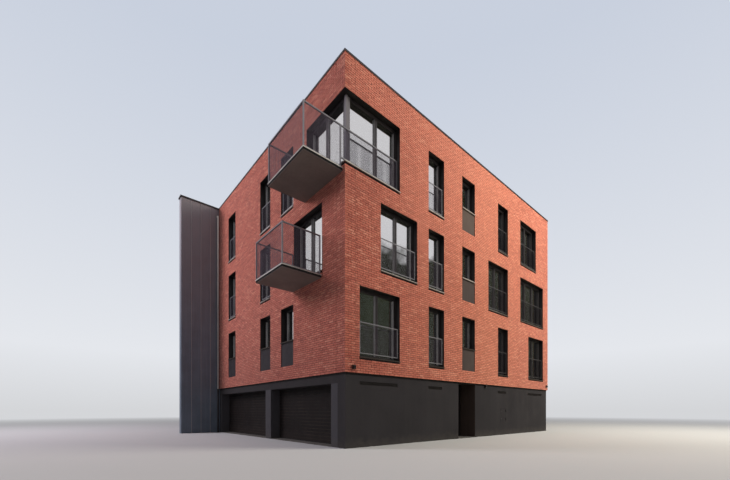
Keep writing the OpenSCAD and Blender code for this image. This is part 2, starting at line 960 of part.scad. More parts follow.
// Rainwater pipe in the corner of screen wall and brick
pipe_r = 45;
pipe_wall = 3;
pipe_off = 45;
bend_r = 90;
pipe_stub = 50;
band_h = 30;
band_t = 5;
bands = 5;
pipe_x = -pipe_off - pipe_r;
pipe_y = screen_y - bend_r - pipe_stub;
pipe_drop = 560;
pipe_top = wall_top - pipe_drop;

module pipe_ring() {
    difference() {
        circle(r = pipe_r);
        circle(r = pipe_r - pipe_wall);
    }
}

module pipe_band() {
    difference() {
        union() {
            cylinder(r = pipe_r + band_t, h = band_h);
            box([-band_h / 2, band_h / 2], [0, bend_r + pipe_stub], [0, band_h]);
        }
        translate([0, 0, -lap]) cylinder(r = pipe_r - lap, h = band_h + 2 * lap);
    }
}

module downpipe() {
    color(zinc_c) on_front() translate([pipe_x, pipe_y, 0]) {
        linear_extrude(height = pipe_top) pipe_ring();
        translate([0, bend_r, pipe_top]) rotate([90, 0, 90]) rotate([0, 0, 90])
            rotate_extrude(angle = 90) translate([bend_r, 0]) pipe_ring();
        translate([0, bend_r, pipe_top + bend_r]) rotate([-90, 0, 0])
            linear_extrude(height = pipe_stub) pipe_ring();
        for (i = [1:bands])
            translate([0, 0, (i - 0.5) * pipe_top / bands]) pipe_band();
    }
}

// Grilles in the slots under the brick
grille_y = 10;
grille_t = 25;
grille_bar = 12;
grille_gaps = 4;

module vent_grilles() {
    pitch = (slot_h - grille_bar) / grille_gaps;
    color(dark_metal_c) on_front() for (s = slots) {
        x0 = s[0] + slot_inset;
        x1 = s[0] + s[1] - slot_inset;
        translate([0, 0, slot_z]) upright(base_setback + grille_y, grille_t) difference() {
            rect([x0, x1], [0, slot_h]);
            for (i = [0:grille_gaps - 1])
                rect([x0 + grille_bar, x1 - grille_bar], [grille_bar + i * pitch, (i + 1) * pitch]);
        }
    }
}

// Wall lamps: the two at the corners sit on the brick, the middle one on the base
lamp_w = 100;
lamp_h = 140;
lamp_out = 90;
lamp_nose_h = 70;
lamp_chamfer = 35;
lamps = [
    [340, 0, base_h + 110],
    [body_l - 220, 0, base_h + 140],
    [8510, base_setback, base_h - 150]
];

module lamp() {
    run_along(-lamp_w / 2, lamp_w) polygon([
        [0, 0], [0, lamp_h], [-lamp_out + lamp_chamfer, lamp_h],
        [-lamp_out, lamp_h / 2 + lamp_nose_h / 2], [-lamp_out, lamp_h / 2 - lamp_nose_h / 2],
        [-lamp_out + lamp_chamfer, 0]
    ]);
}

module wall_lamps() {
    color(dark_metal_c) on_front()
        for (place = lamps)
            translate(place) lamp();
}

ground_slab();
base_front_left();
base_front_right();
garage_piers();
garage_lintel();
base_back();
base_right();
entrance_niche();
floor_1();
floor_2();
floor_3();
roof_slab();
front_wall_1();
front_wall_2();
front_wall_3();
left_wall_1();
left_wall_2();
left_wall_3();
back_wall();
right_wall();
coping();
screen_wall();
screen_cap();
reveal_linings();
upper_balcony();
upper_railing();
upper_mesh();
lower_balcony();
lower_railing();
lower_mesh();
front_frames();
left_frames();
rear_frames();
corner_frame();
front_glass();
left_glass();
rear_glass();
corner_glass();
window_sills();
window_guards();
guard_mesh();
spandrel_panels();
entrance_frame();
entrance_door();
cabinet_box();
cabinet_door();
garage_doors();
downpipe();
vent_grilles();
wall_lamps();
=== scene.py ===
# Finishes and fine pieces of the apartment block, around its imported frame
import json
import math
import random

import bmesh
import bpy
import numpy as np
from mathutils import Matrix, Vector


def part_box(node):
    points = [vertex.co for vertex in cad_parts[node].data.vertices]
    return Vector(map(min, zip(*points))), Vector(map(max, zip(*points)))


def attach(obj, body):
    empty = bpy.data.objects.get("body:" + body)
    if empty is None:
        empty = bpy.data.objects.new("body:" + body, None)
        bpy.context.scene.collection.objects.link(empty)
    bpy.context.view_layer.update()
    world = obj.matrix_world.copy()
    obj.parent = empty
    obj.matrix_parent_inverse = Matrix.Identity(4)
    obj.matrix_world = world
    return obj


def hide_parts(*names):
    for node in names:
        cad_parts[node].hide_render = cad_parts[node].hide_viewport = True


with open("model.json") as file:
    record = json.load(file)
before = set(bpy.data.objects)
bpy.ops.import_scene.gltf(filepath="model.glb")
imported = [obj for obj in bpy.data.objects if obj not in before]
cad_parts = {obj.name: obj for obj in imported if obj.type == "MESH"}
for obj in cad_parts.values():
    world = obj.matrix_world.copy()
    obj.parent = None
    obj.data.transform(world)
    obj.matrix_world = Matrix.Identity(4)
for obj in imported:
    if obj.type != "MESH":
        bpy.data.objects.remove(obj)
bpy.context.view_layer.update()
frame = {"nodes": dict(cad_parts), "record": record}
nodes = frame["nodes"]
BODY = "block"
random.seed(41)

# Camera: a shift lens at eye height, so that upright edges stay upright
CAMERA_PLACE = (-14.647, -16.685, 1.229)
CAMERA_TURN_DEG = 40.9
CAMERA_LENS = 17.34
SENSOR = 36.0
CAMERA_SHIFT_UP = 0.2337


def set_camera():
    """Looks along the camera's turn, level, with the lens shifted up."""
    data = bpy.data.cameras.new("camera")
    data.lens = CAMERA_LENS
    data.sensor_width = SENSOR
    data.shift_y = CAMERA_SHIFT_UP
    data.clip_end = 2000
    camera = bpy.data.objects.new("camera", data)
    camera.location = CAMERA_PLACE
    camera.rotation_euler = (math.radians(90), 0, math.radians(-CAMERA_TURN_DEG))
    bpy.context.scene.collection.objects.link(camera)
    bpy.context.scene.camera = camera


set_camera()


# Places read from the frame
def solids(node):
    """Lowest and highest corner of each separate solid of a CAD node."""
    mesh = nodes[node].data
    co = np.zeros(len(mesh.vertices) * 3, np.float32)
    mesh.vertices.foreach_get("co", co)
    keys, ids = np.unique(np.round(co.reshape(-1, 3), 4), axis=0, return_inverse=True)
    ids = ids.reshape(-1)
    parent = list(range(len(keys)))

    def root(i):
        while parent[i] != i:
            parent[i] = parent[parent[i]]
            i = parent[i]
        return i

    for face in mesh.polygons:
        first = root(ids[face.vertices[0]])
        for v in face.vertices[1:]:
            parent[root(ids[v])] = first
    groups = {}
    for i, key in enumerate(keys):
        groups.setdefault(root(i), []).append(key)
    return [(Vector(np.min(g, 0).tolist()), Vector(np.max(g, 0).tolist())) for g in groups.values()]


BRICK_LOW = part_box("front_wall_1")[0]
BRICK_HIGH = Vector((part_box("front_wall_1")[1].x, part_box("back_wall")[1].y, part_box("front_wall_3")[1].z))
BASE_TOP = BRICK_LOW.z
ROOF_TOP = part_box("roof_slab")[1].z
GROUND, SLAB_TOP = (corner.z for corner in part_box("ground_slab"))
WALL_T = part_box("front_wall_1")[1].y - BRICK_LOW.y
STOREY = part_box("floor_3")[1].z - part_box("floor_2")[1].z
SIDE_X = BRICK_HIGH.x - BRICK_LOW.x
SIDE_Y = BRICK_HIGH.y - BRICK_LOW.y
BASE_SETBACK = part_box("base_front_left")[0].y - BRICK_LOW.y
CORNER_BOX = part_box("corner_frame")
EDGE_SLACK = 0.01
END_SLACK = 0.1


class Facade:
    """One side of the block: u runs along it, depth goes in behind its outer brick face."""

    def __init__(self, name, corner, along, inward, length):
        self.name = name
        self.corner = Vector(corner)
        self.along = Vector(along)
        self.inward = Vector(inward)
        self.length = length
        self.turn = math.atan2(-self.inward.x, self.inward.y)

    def point(self, u, depth, z):
        return self.corner + self.along * u + self.inward * depth + Vector((0, 0, z))

    def flat(self, box):
        """A box in the frame as (u0, u1, depth0, depth1, z0, z1) on this side."""
        a = box[0] - self.corner
        b = box[1] - self.corner
        us = sorted((a.dot(self.along), b.dot(self.along)))
        ds = sorted((a.dot(self.inward), b.dot(self.inward)))
        return us[0], us[1], ds[0], ds[1], box[0].z, box[1].z

    def bar(self, u, depth, z):
        """A place for a laid unit that fills u, depth and z, each given as (from, to)."""
        centre = self.point(sum(u) / 2, sum(depth) / 2, sum(z) / 2)
        size = (u[1] - u[0], depth[1] - depth[0], z[1] - z[0])
        return centre, size, (0, 0, self.turn), random.random()


FRONT = Facade("front", (BRICK_LOW.x, BRICK_LOW.y, 0), (1, 0, 0), (0, 1, 0), SIDE_X)
LEFT = Facade("left", (BRICK_LOW.x, BRICK_LOW.y, 0), (0, 1, 0), (1, 0, 0), SIDE_Y)
BACK = Facade("back", (BRICK_HIGH.x, BRICK_HIGH.y, 0), (-1, 0, 0), (0, -1, 0), SIDE_X)
RIGHT = Facade("right", (BRICK_HIGH.x, BRICK_LOW.y, 0), (0, 1, 0), (-1, 0, 0), SIDE_Y)
FACADES = (FRONT, LEFT, BACK, RIGHT)
SCREEN = LEFT.flat(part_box("screen_wall"))
SEAM_H = 0.026
SCREEN_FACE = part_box("screen_wall")[0].y + SEAM_H


def on_facade(facade, node):
    """The solids of a node that lie within this facade's wall or before it, as flat boxes."""
    found = []
    for box in solids(node):
        flat = facade.flat(box)
        if flat[3] < WALL_T + EDGE_SLACK and flat[3] - flat[2] < WALL_T:
            if flat[0] > -END_SLACK and flat[1] < facade.length + END_SLACK:
                found.append(flat)
    return found


def set_in(facade, kind):
    """Frames or panes of a facade as flat boxes, without the corner window."""
    own = facade.name if facade in (FRONT, LEFT) else "rear"
    return on_facade(facade, own + "_" + kind)


def panes(facade):
    found = set_in(facade, "glass")
    if facade in (FRONT, LEFT):
        found += on_facade(facade, "corner_glass")
    return found


def wall_openings(facade):
    """Windows, doors and panel fields of a facade as (u0, u1, z0, z1)."""
    fields = set_in(facade, "frames") + on_facade(facade, "spandrel_panels")
    found = [(f[0], f[1], f[4], f[5]) for f in fields]
    if facade in (FRONT, LEFT):
        flat = facade.flat(CORNER_BOX)
        found.append((-END_SLACK, flat[1], flat[4], flat[5]))
    return found


# Node helpers
def linear(r, g, b):
    """A colour given as 0 to 255 display values."""
    out = []
    for c in (r / 255, g / 255, b / 255):
        out.append(c / 12.92 if c <= 0.04045 else ((c + 0.055) / 1.055) ** 2.4)
    return tuple(out)


class Net:
    """Short ways to place and link nodes in one tree; each gives back what its node puts out."""

    def __init__(self, tree):
        self.tree = tree

    def feed(self, socket, value):
        if isinstance(value, bpy.types.NodeSocket):
            self.tree.links.new(value, socket)
        elif isinstance(value, tuple) and len(value) == 3 and socket.type == "RGBA":
            socket.default_value = (*value, 1)
        elif value is not None:
            socket.default_value = value

    def node(self, kind, **values):
        """A new node; each value goes to its property or input of that name."""
        made = self.tree.nodes.new(kind)
        for label, value in values.items():
            if hasattr(made, label):
                setattr(made, label, value)
            else:
                self.feed(made.inputs[label.replace("_", " ")], value)
        return made

    def ramp(self, value, stops):
        """A colour that runs through the stops, each (position, linear colour)."""
        made = self.node("ShaderNodeValToRGB", Fac=value)
        elements = made.color_ramp.elements
        for element, stop in ((elements[0], stops[0]), (elements[1], stops[-1])):
            element.position = stop[0]
            element.color = (*stop[1], 1)
        for position, colour in stops[1:-1]:
            elements.new(position).color = (*colour, 1)
        return made.outputs["Color"]

    def mix(self, factor, a, b):
        made = self.node("ShaderNodeMix", data_type="RGBA")
        for socket, value in zip([s for s in made.inputs if s.enabled], (factor, a, b)):
            self.feed(socket, value)
        return [s for s in made.outputs if s.enabled][0]

    def sums(self, operation, a, b=None):
        made = self.node("ShaderNodeMath", operation=operation)
        for socket, value in zip(made.inputs, (a, b)):
            self.feed(socket, value)
        return made.outputs[0]

    def times(self, first, *others):
        for other in others:
            first = self.sums("MULTIPLY", first, other)
        return first

    def above(self, value, level):
        return self.sums("GREATER_THAN", value, level)

    def below(self, value, level):
        return self.sums("LESS_THAN", value, level)

    def repeat(self, value, start, pitch):
        """Rises from 0 to 1 over each pitch, counted from the start."""
        return self.sums("FRACT", self.sums("DIVIDE", self.sums("SUBTRACT", value, start), pitch))

    def spread(self, value, low, high, to_low=0.0, to_high=1.0):
        made = self.node("ShaderNodeMapRange", Value=value, From_Min=low, From_Max=high,
                         To_Min=to_low, To_Max=to_high)
        return made.outputs["Result"]

    def noise(self, place, scale, detail=4.0, roughness=0.5):
        made = self.node("ShaderNodeTexNoise", Vector=place, Scale=scale, Detail=detail, Roughness=roughness)
        return made.outputs["Fac"]

    def drawn_up(self, place, share):
        """The place with its height drawn out, for upright patterns."""
        return self.node("ShaderNodeMapping", Vector=place, Scale=(1.0, 1.0, share)).outputs["Vector"]

    def axes(self, place):
        made = self.node("ShaderNodeSeparateXYZ")
        self.feed(made.inputs[0], place)
        return made.outputs

    def effect(self, group, **values):
        made = self.node("ShaderNodeGroup", node_tree=group)
        for label, value in values.items():
            self.feed(made.inputs[label], value)
        return made.outputs[0]

    def glow(self, colour, strength):
        return self.node("ShaderNodeBackground", Color=colour, Strength=strength).outputs[0]

    def blend(self, factor, first, second):
        """Two shaders mixed by the factor."""
        made = self.node("ShaderNodeMixShader", Fac=factor)
        self.feed(made.inputs[1], first)
        self.feed(made.inputs[2], second)
        return made.outputs[0]


# Modelling helpers
def deselect():
    if bpy.context.object and bpy.context.object.mode != "OBJECT":
        bpy.ops.object.mode_set(mode="OBJECT")
    bpy.ops.object.select_all(action="DESELECT")


def activate(piece):
    deselect()
    piece.select_set(True)
    bpy.context.view_layer.objects.active = piece


def new_cube():
    deselect()
    bpy.ops.mesh.primitive_cube_add(size=1)
    return bpy.context.object


def edit_mode():
    bpy.ops.object.mode_set(mode="EDIT")


def unit_made(name):
    """Leaves edit mode and gives back the unit in hand under its name."""
    bpy.ops.object.mode_set(mode="OBJECT")
    bpy.context.object.name = name
    return bpy.context.object


def finish_piece(piece, name, finish, body=BODY):
    activate(piece)
    bpy.ops.object.transform_apply(location=True, rotation=True, scale=True)
    piece.name = name
    piece.data.name = name
    piece.data.materials.clear()
    piece.data.materials.append(finish.material)
    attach(piece, body)
    return piece


def select_faces(piece, test):
    """In edit mode, selects the faces whose centre and normal pass the test."""
    bpy.ops.mesh.select_mode(type="FACE")
    bpy.ops.mesh.select_all(action="DESELECT")
    cage = bmesh.from_edit_mesh(piece.data)
    for face in cage.faces:
        if test(face.calc_center_median(), face.normal):
            face.select = True
    bmesh.update_edit_mesh(piece.data)


def chamfer(piece, width):
    activate(piece)
    modifier = piece.modifiers.new("edges", "BEVEL")
    modifier.width = width
    modifier.limit_method = "ANGLE"
    bpy.ops.object.modifier_apply(modifier=modifier.name)


def laying_nodes(unit):
    """Geometry nodes that put the unit on each point, turned and sized by the points' attributes."""
    net = Net(bpy.data.node_groups.new("lay_" + unit.name, "GeometryNodeTree"))
    for way in ("INPUT", "OUTPUT"):
        net.tree.interface.new_socket("Geometry", in_out=way, socket_type="NodeSocketGeometry")

    def given(label):
        reader = net.node("GeometryNodeInputNamedAttribute", data_type="FLOAT_VECTOR", Name=label)
        return reader.outputs["Attribute"]

    points = net.node("NodeGroupInput").outputs[0]
    model = net.node("GeometryNodeObjectInfo", Object=unit).outputs["Geometry"]
    turn = net.node("FunctionNodeEulerToRotation", Euler=given("turn")).outputs[0]
    laid = net.node("GeometryNodeInstanceOnPoints", Points=points, Instance=model, Rotation=turn,
                    Scale=given("size")).outputs[0]
    net.node("NodeGroupOutput", Geometry=net.node("GeometryNodeRealizeInstances", Geometry=laid).outputs[0])
    return net.tree


PLACE_FIELDS = (
    ("size", "FLOAT_VECTOR", "vector"), ("turn", "FLOAT_VECTOR", "vector"), ("tone", "FLOAT", "value"),
)


def lay(name, unit, places, finish):
    """One mesh with a copy of the unit at each place: (centre, size, turn, tone)."""
    mesh = bpy.data.meshes.new(name)
    mesh.from_pydata([p[0] for p in places], [], [])
    for index, (label, kind, field) in enumerate(PLACE_FIELDS, 1):
        attribute = mesh.attributes.new(label, kind, "POINT")
        values = np.array([p[index] for p in places], np.float32).reshape(-1)
        attribute.data.foreach_set(field, values)
    piece = bpy.data.objects.new(name, mesh)
    bpy.context.scene.collection.objects.link(piece)
    activate(piece)
    modifier = piece.modifiers.new("laying", "NODES")
    modifier.node_group = laying_nodes(unit)
    bpy.ops.object.modifier_apply(modifier=modifier.name)
    for label in ("size", "turn"):
        piece.data.attributes.remove(piece.data.attributes[label])
    return finish_piece(piece, name, finish)


def drop(unit):
    bpy.data.objects.remove(unit)


# Shared effects, each built once as a group and placed with its own values
def new_effect(name, recipe, *inputs):
    """A group that puts out what the recipe makes of the inputs."""
    group = bpy.data.node_groups.new(name, "ShaderNodeTree")
    for label in inputs:
        kind = "NodeSocketVector" if label == "Place" else "NodeSocketFloat"
        group.interface.new_socket(label, in_out="INPUT", socket_type=kind)
    group.interface.new_socket("Mask", in_out="OUTPUT", socket_type="NodeSocketFloat")
    net = Net(group)
    given = net.node("NodeGroupInput").outputs
    net.node("NodeGroupOutput", Mask=recipe(net, *[given[label] for label in inputs]))
    return group


def clouding(net, place, scale):
    """Soft patches from 0 to 1."""
    return net.spread(net.noise(place, scale, 5.0), 0.32, 0.68)


def rain_streaks(net, place, scale):
    """Upright runs of rain and dust, from 0 to 1."""
    return net.spread(net.noise(net.drawn_up(place, 0.05), scale), 0.45, 0.75)


def splash(net, place, level, reach):
    """A mask that thins out upwards from a level, with a broken edge: dust on render and doors, painted shade
    at the foot of the bricks.
    """
    height = net.sums("SUBTRACT", net.axes(place)[2], level)
    ragged = net.spread(net.noise(place, 4.0), 0.3, 0.7, -0.35, 0.35)
    return net.spread(net.sums("ADD", net.sums("DIVIDE", height, reach), ragged), 1.0, 0.0)


def inside(net, place, reach):
    """1 on what lies within the reach from the middle of the block, 0 outside it."""
    x, y, _ = net.axes(place)
    return net.below(net.sums("MAXIMUM", net.sums("ABSOLUTE", x), net.sums("ABSOLUTE", y)), reach)


def fine_grain(net, place, scale, roughness):
    """Fine surface grain, for bump and flecks."""
    return net.noise(place, scale, 3.0, roughness)


def garage_side(net, place):
    """1 on the garage side's wall and what is set in it, where less light falls."""
    return net.below(net.axes(place)[0], LEFT.corner.x + WALL_T)


def far_end(net, place):
    """Rises along the front towards its far end, where metal gets a painted dark reflection."""
    return net.spread(net.axes(place)[0], -2.5, 2.5)


CLOUDING = new_effect("clouding", clouding, "Place", "Scale")
STREAKS = new_effect("rain_streaks", rain_streaks, "Place", "Scale")
SPLASH_DIRT_AND_SHADE = new_effect("splash", splash, "Place", "Level", "Reach")
INSIDE = new_effect("inside", inside, "Place", "Reach")
GRAIN = new_effect("grain", fine_grain, "Place", "Scale", "Roughness")
FAR_PAINTED_DARK = new_effect("far_end", far_end, "Place")
GARAGE_SIDE = new_effect("garage_side", garage_side, "Place")


class Finish(Net):
    """A material in the making: its shader, the place on the object and the colour so far."""

    def __init__(self, name, metallic=0.0):
        self.material = bpy.data.materials.new(name)
        self.material.use_nodes = True
        super().__init__(self.material.node_tree)
        self.shader = self.tree.nodes["Principled BSDF"]
        self.set("Metallic", metallic)
        self.place = self.node("ShaderNodeTexCoord").outputs["Object"]

    def set(self, label, value):
        self.feed(self.shader.inputs[label], value)

    def paint(self, colour):
        self.colour = colour
        self.set("Base Color", colour)

    def xyz(self):
        return self.axes(self.place)

    def cloud(self, scale):
        return self.effect(CLOUDING, Place=self.place, Scale=scale)

    def runs(self, scale):
        return self.effect(STREAKS, Place=self.place, Scale=scale)

    def foot(self, level, reach):
        return self.effect(SPLASH_DIRT_AND_SHADE, Place=self.place, Level=level, Reach=reach)

    def grain(self, scale, roughness=0.6):
        return self.effect(GRAIN, Place=self.place, Scale=scale, Roughness=roughness)

    def at(self, group):
        return self.effect(group, Place=self.place)

    def tone(self):
        """The own tone of each laid unit, from 0 to 1."""
        return self.node("ShaderNodeAttribute", attribute_name="tone").outputs["Fac"]

    def shade(self, mask, dark, pale, low=0.0, high=1.0):
        """Starts the colour: from dark to pale, given as display values, as the mask rises."""
        self.paint(self.ramp(mask, [(low, linear(*dark)), (high, linear(*pale))]))

    def patches(self, scale, dark, pale, smooth, dull):
        """Starts the colour in soft patches, the paler the duller."""
        mask = self.cloud(scale)
        self.shade(mask, dark, pale)
        self.rough(mask, smooth, dull)

    def tint(self, mask, share, colour):
        """Mixes a colour in, given as display values, by its share where the mask is full."""
        factor = mask if share == 1 else self.times(mask, share)
        self.paint(self.mix(factor, self.colour, linear(*colour)))

    def rough(self, mask, smooth, dull, low=0.0, high=1.0):
        self.set("Roughness", self.spread(mask, low, high, smooth, dull))

    def bump(self, height, strength, distance):
        made = self.node("ShaderNodeBump", Strength=strength, Distance=distance, Height=height)
        self.set("Normal", made.outputs["Normal"])


# Finishes
BRICK_TONES = [
    (0.0, linear(160, 76, 63)), (0.18, linear(178, 90, 73)), (0.5, linear(191, 99, 81)),
    (0.82, linear(200, 109, 89)), (1.0, linear(214, 136, 114)),
]
# Painted light and shade on the bricks: warm light along the front, pale light high up, shade at the foot
WARM_LIGHT_RISE = (-7.5, 0.5)
WARM_LIGHT_FALL = (1.0, 7.5, 1.0, 0.35)
PALE_LIGHT_RISE = (-6.5, -4.0)
PALE_LIGHT_FALL = (0.5, 4.5, 1.0, 0.0)
PALE_LIGHT_HEIGHT = (6.5, 9.5)
CROWN_HEIGHT = (10.9, 12.0, 0.0, 1.3)
CROWN_START = (-7.77, -7.4)
FOOT_SHADE_FALL = (-7.0, -3.0, 1.0, 0.0)
MORTAR_DARK = linear(52, 36, 34)
MORTAR_PALE = linear(74, 52, 48)
PLASTER_DARK = (82, 78, 74)
PLASTER_PALE = (96, 92, 88)
MEMBRANE = linear(74, 74, 76)
ROOM_REACH = min(SIDE_X, SIDE_Y) / 2 - 0.28
RECESS_BLACK = (66, 53, 48)
FRAME_DARK = (42, 38, 40)
FRAME_PALE = (53, 48, 50)
POST_REACH = Vector((0.37, 0.30, 0))
# Above this height the corner post is painted lighter, below it painted shade behind the mesh
POST_PALE_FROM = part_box("upper_railing")[1].z - 0.05
RIB_PITCH = 0.13
SILL_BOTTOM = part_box("window_sills")[0].z - 0.0005
# Height of the painted shadow along each sill's drip edge
SILL_SHADOW_BAND = 0.009
SLAB_EDGE = (0.004, 0.096)
CLADDING_PALE_FROM = 5.0
# Heights over which painted light makes the panels paler
PANEL_LIGHT_HEIGHT = (8.0, 9.5)
# Heights of the pipe's painted sky reflection
PIPE_REFLECTION_HEIGHT = (7.0, 12.0)
ROOF_INNER = SIDE_X - 2 * WALL_T - 0.02
SHEET_STEP = ROOF_INNER / round(ROOF_INNER)


def brick_finish():
    """Each brick has its own tone; painted warm light towards the right of the front, painted pale light high
    up and painted shade at its foot.
    """
    brick = Finish("clinker_brick")
    brick.set("Sheen Weight", 0.25)
    brick.paint(brick.ramp(brick.tone(), BRICK_TONES))
    brick.tint(brick.cloud(0.35), 0.16, (200, 122, 100))
    marbled = brick.cloud(18.0)
    brick.tint(marbled, 0.3, (158, 80, 66))
    flecks = brick.noise(brick.place, 30.0, 2.0, 0.6)
    brick.tint(brick.spread(flecks, 0.54, 0.66), 0.42, (228, 172, 150))
    brick.tint(brick.spread(flecks, 0.45, 0.34), 0.36, (120, 58, 50))
    brick.tint(brick.runs(2.2), 0.07, (140, 90, 80))
    x, _, z = brick.xyz()
    # Painted warm light, strongest towards the right of the front
    warm = brick.times(brick.spread(x, *WARM_LIGHT_RISE), brick.spread(x, *WARM_LIGHT_FALL))
    brick.tint(warm, 0.2, (236, 152, 104))
    # Painted pale light high up on the front and at the top of the near corner
    crown = brick.times(brick.spread(z, *CROWN_HEIGHT), brick.spread(x, *CROWN_START))
    painted_pale_light = brick.sums("MAXIMUM", brick.spread(x, *PALE_LIGHT_RISE), crown)
    painted_pale_light = brick.times(painted_pale_light, brick.spread(x, *PALE_LIGHT_FALL), brick.spread(z, *PALE_LIGHT_HEIGHT))
    brick.tint(painted_pale_light, 0.22, (245, 150, 125))
    # Painted shade at the foot of the bricks near the corner, fading upwards and along the front
    foot = brick.times(brick.foot(BASE_TOP - 0.5, 3.8), brick.spread(x, *FOOT_SHADE_FALL))
    brick.tint(foot, 0.3, (112, 46, 34))
    brick.rough(marbled, 0.78, 0.92)
    brick.bump(brick.grain(90.0), 0.5, 0.003)
    return brick


def wall_finish():
    """Mortar outside, plaster in the rooms, roof sheeting above the roof."""
    wall = Finish("mortar_and_plaster")
    wall.shade(wall.cloud(2.0), PLASTER_DARK, PLASTER_PALE)
    lining = wall.mix(wall.above(wall.xyz()[2], ROOF_TOP), wall.colour, MEMBRANE)
    sand = wall.grain(60.0)
    mortar = wall.ramp(sand, [(0.3, MORTAR_DARK), (0.7, MORTAR_PALE)])
    wall.paint(wall.mix(wall.effect(INSIDE, Place=wall.place, Reach=ROOM_REACH), mortar, lining))
    wall.rough(sand, 0.86, 0.97, 0.3, 0.7)
    wall.bump(sand, 0.5, 0.003)
    return wall


def render_finish(name, dark, pale):
    """Fine floated render: patches, runs from above and dust thrown up at the foot."""
    render = Finish(name)
    render.patches(1.1, dark, pale, 0.84, 0.94)
    render.tint(render.runs(3.0), 0.16, (70, 66, 64))
    render.tint(render.foot(0.0, 0.35), 0.3, (86, 80, 74))
    sand = render.grain(340.0)
    render.tint(render.spread(sand, 0.55, 0.75), 0.25, (84, 80, 80))
    render.bump(sand, 0.55, 0.002)
    return render


def base_finish():
    """Render of the base; the returns beside the entrance are near-black as the recess is."""
    render = render_finish("base_render", (42, 39, 41), (50, 47, 49))
    low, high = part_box("entrance_frame")
    x, y, _ = render.xyz()
    lap = 0.003
    beside = render.times(render.above(x, low.x - lap), render.below(x, high.x + lap))
    behind = render.above(y, FRONT.corner.y + BASE_SETBACK + lap)
    render.tint(render.times(beside, behind), 1, RECESS_BLACK)
    return render


def coated_finish(name, dark, pale, roughness, metallic=0.0, patch_scale=3.0, streak=0.08):
    """Powder-coated or rolled metal: soft patches, faint runs and a fine orange-peel surface."""
    coat = Finish(name, metallic)
    coat.patches(patch_scale, dark, pale, roughness - 0.05, roughness + 0.08)
    dust = tuple(min(1.0, c * 1.8 + 0.02) for c in linear(*pale))
    coat.paint(coat.mix(coat.times(coat.runs(12.0), streak), coat.colour, dust))
    coat.bump(coat.grain(420.0, 0.5), 0.2, 0.0006)
    return coat


def corner_frame_finish():
    """The corner window's frames are as dark as the others; its post has painted light above the rail and
    painted shade below it, behind the mesh.
    """
    coat = coated_finish("corner_frame_coat", FRAME_DARK, FRAME_PALE, 0.4)
    x, y, z = coat.xyz()
    reach = FRONT.corner + POST_REACH
    post = coat.times(coat.below(x, reach.x), coat.below(y, reach.y))
    # Painted light on the post above the rail, painted shade below it behind the mesh
    grey = coat.mix(coat.above(z, POST_PALE_FROM), linear(74, 70, 79), linear(110, 105, 109))
    coat.paint(coat.mix(post, coat.colour, grey))
    return coat


def cladding_finish():
    """Seamed sheet, a little paler and browner towards the top, with a painted highlight on its seams,
    slightly wavy between them.
    """
    sheet = coated_finish("seamed_cladding", (102, 112, 126), (114, 124, 138), 0.5, 0.2, 1.4, 0.14)
    _, y, z = sheet.xyz()
    sheet.tint(sheet.spread(z, CLADDING_PALE_FROM, BRICK_HIGH.z), 0.75, (149, 139, 142))
    # Painted highlight: the outer faces of the seams are tinted near-white
    out = sheet.sums("SUBTRACT", SCREEN_FACE, y)
    sheet.tint(sheet.spread(out, SEAM_H * 0.3, SEAM_H * 0.6), 0.8, (196, 190, 192))
    sheet.bump(sheet.noise(sheet.place, 1.3, 1.0), 0.25, 0.03)
    return sheet


def rail_finish():
    """Hot-dip galvanised steel, dulled, with a fine spangle and a painted dark reflection towards the far end.
    """
    rail = Finish("galvanised_rail", 0.3)
    spangle = rail.node("ShaderNodeTexVoronoi", Scale=90.0, Vector=rail.place).outputs["Color"]
    level = rail.axes(spangle)[0]
    rail.shade(level, (124, 122, 128), (150, 148, 154))
    rail.tint(rail.cloud(5.0), 0.35, (108, 100, 98))
    # Painted dark reflection towards the far end of the front
    rail.tint(rail.at(FAR_PAINTED_DARK), 0.85, (50, 46, 44))
    rail.rough(level, 0.42, 0.6)
    rail.bump(rail.grain(180.0, 0.5), 0.2, 0.001)
    return rail


def wire_finish():
    """Woven wire, each wire with its own tone, dull in patches, with a painted dark reflection towards the far
    end.
    """
    wire = Finish("woven_wire", 0.3)
    wire.shade(wire.tone(), (104, 94, 108), (128, 118, 132))
    dull = wire.cloud(9.0)
    wire.tint(dull, 0.3, (70, 60, 60))
    # Painted dark reflection towards the far end of the front
    wire.tint(wire.at(FAR_PAINTED_DARK), 0.8, (30, 27, 26))
    wire.rough(dull, 0.5, 0.7)
    wire.bump(wire.grain(500.0), 0.2, 0.0005)
    return wire


def soffit_finish():
    """Smooth brown-grey coated concrete with faint board patches and drip marks, black round its edge."""
    slab = Finish("balcony_coating")
    slab.patches(1.6, (116, 105, 100), (129, 118, 112), 0.72, 0.86)
    slab.tint(slab.cloud(11.0), 0.12, (58, 50, 46))
    rise = slab.repeat(slab.xyz()[2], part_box("lower_balcony")[0].z, STOREY)
    edge = slab.times(slab.above(rise, SLAB_EDGE[0] / STOREY), slab.below(rise, SLAB_EDGE[1] / STOREY))
    slab.tint(edge, 1, (24, 22, 22))
    slab.bump(slab.grain(120.0, 0.5), 0.3, 0.0015)
    return slab


def panel_finish():
    """Through-coloured board with fine flecks; painted light makes it paler at the top, painted shade darkest
    on the garage side.
    """
    board = Finish("dark_panel")
    board.patches(2.5, (66, 57, 55), (74, 64, 61), 0.58, 0.72)
    # Painted light: paler at the top
    board.tint(board.spread(board.xyz()[2], *PANEL_LIGHT_HEIGHT), 1, (87, 74, 68))
    # Painted shade on the garage side
    board.tint(board.at(GARAGE_SIDE), 0.9, (38, 36, 41))
    flecks = board.grain(300.0, 0.5)
    board.tint(board.spread(flecks, 0.6, 0.75), 0.3, (108, 99, 95))
    board.tint(board.runs(9.0), 0.12, (96, 88, 84))
    board.bump(flecks, 0.25, 0.001)
    return board


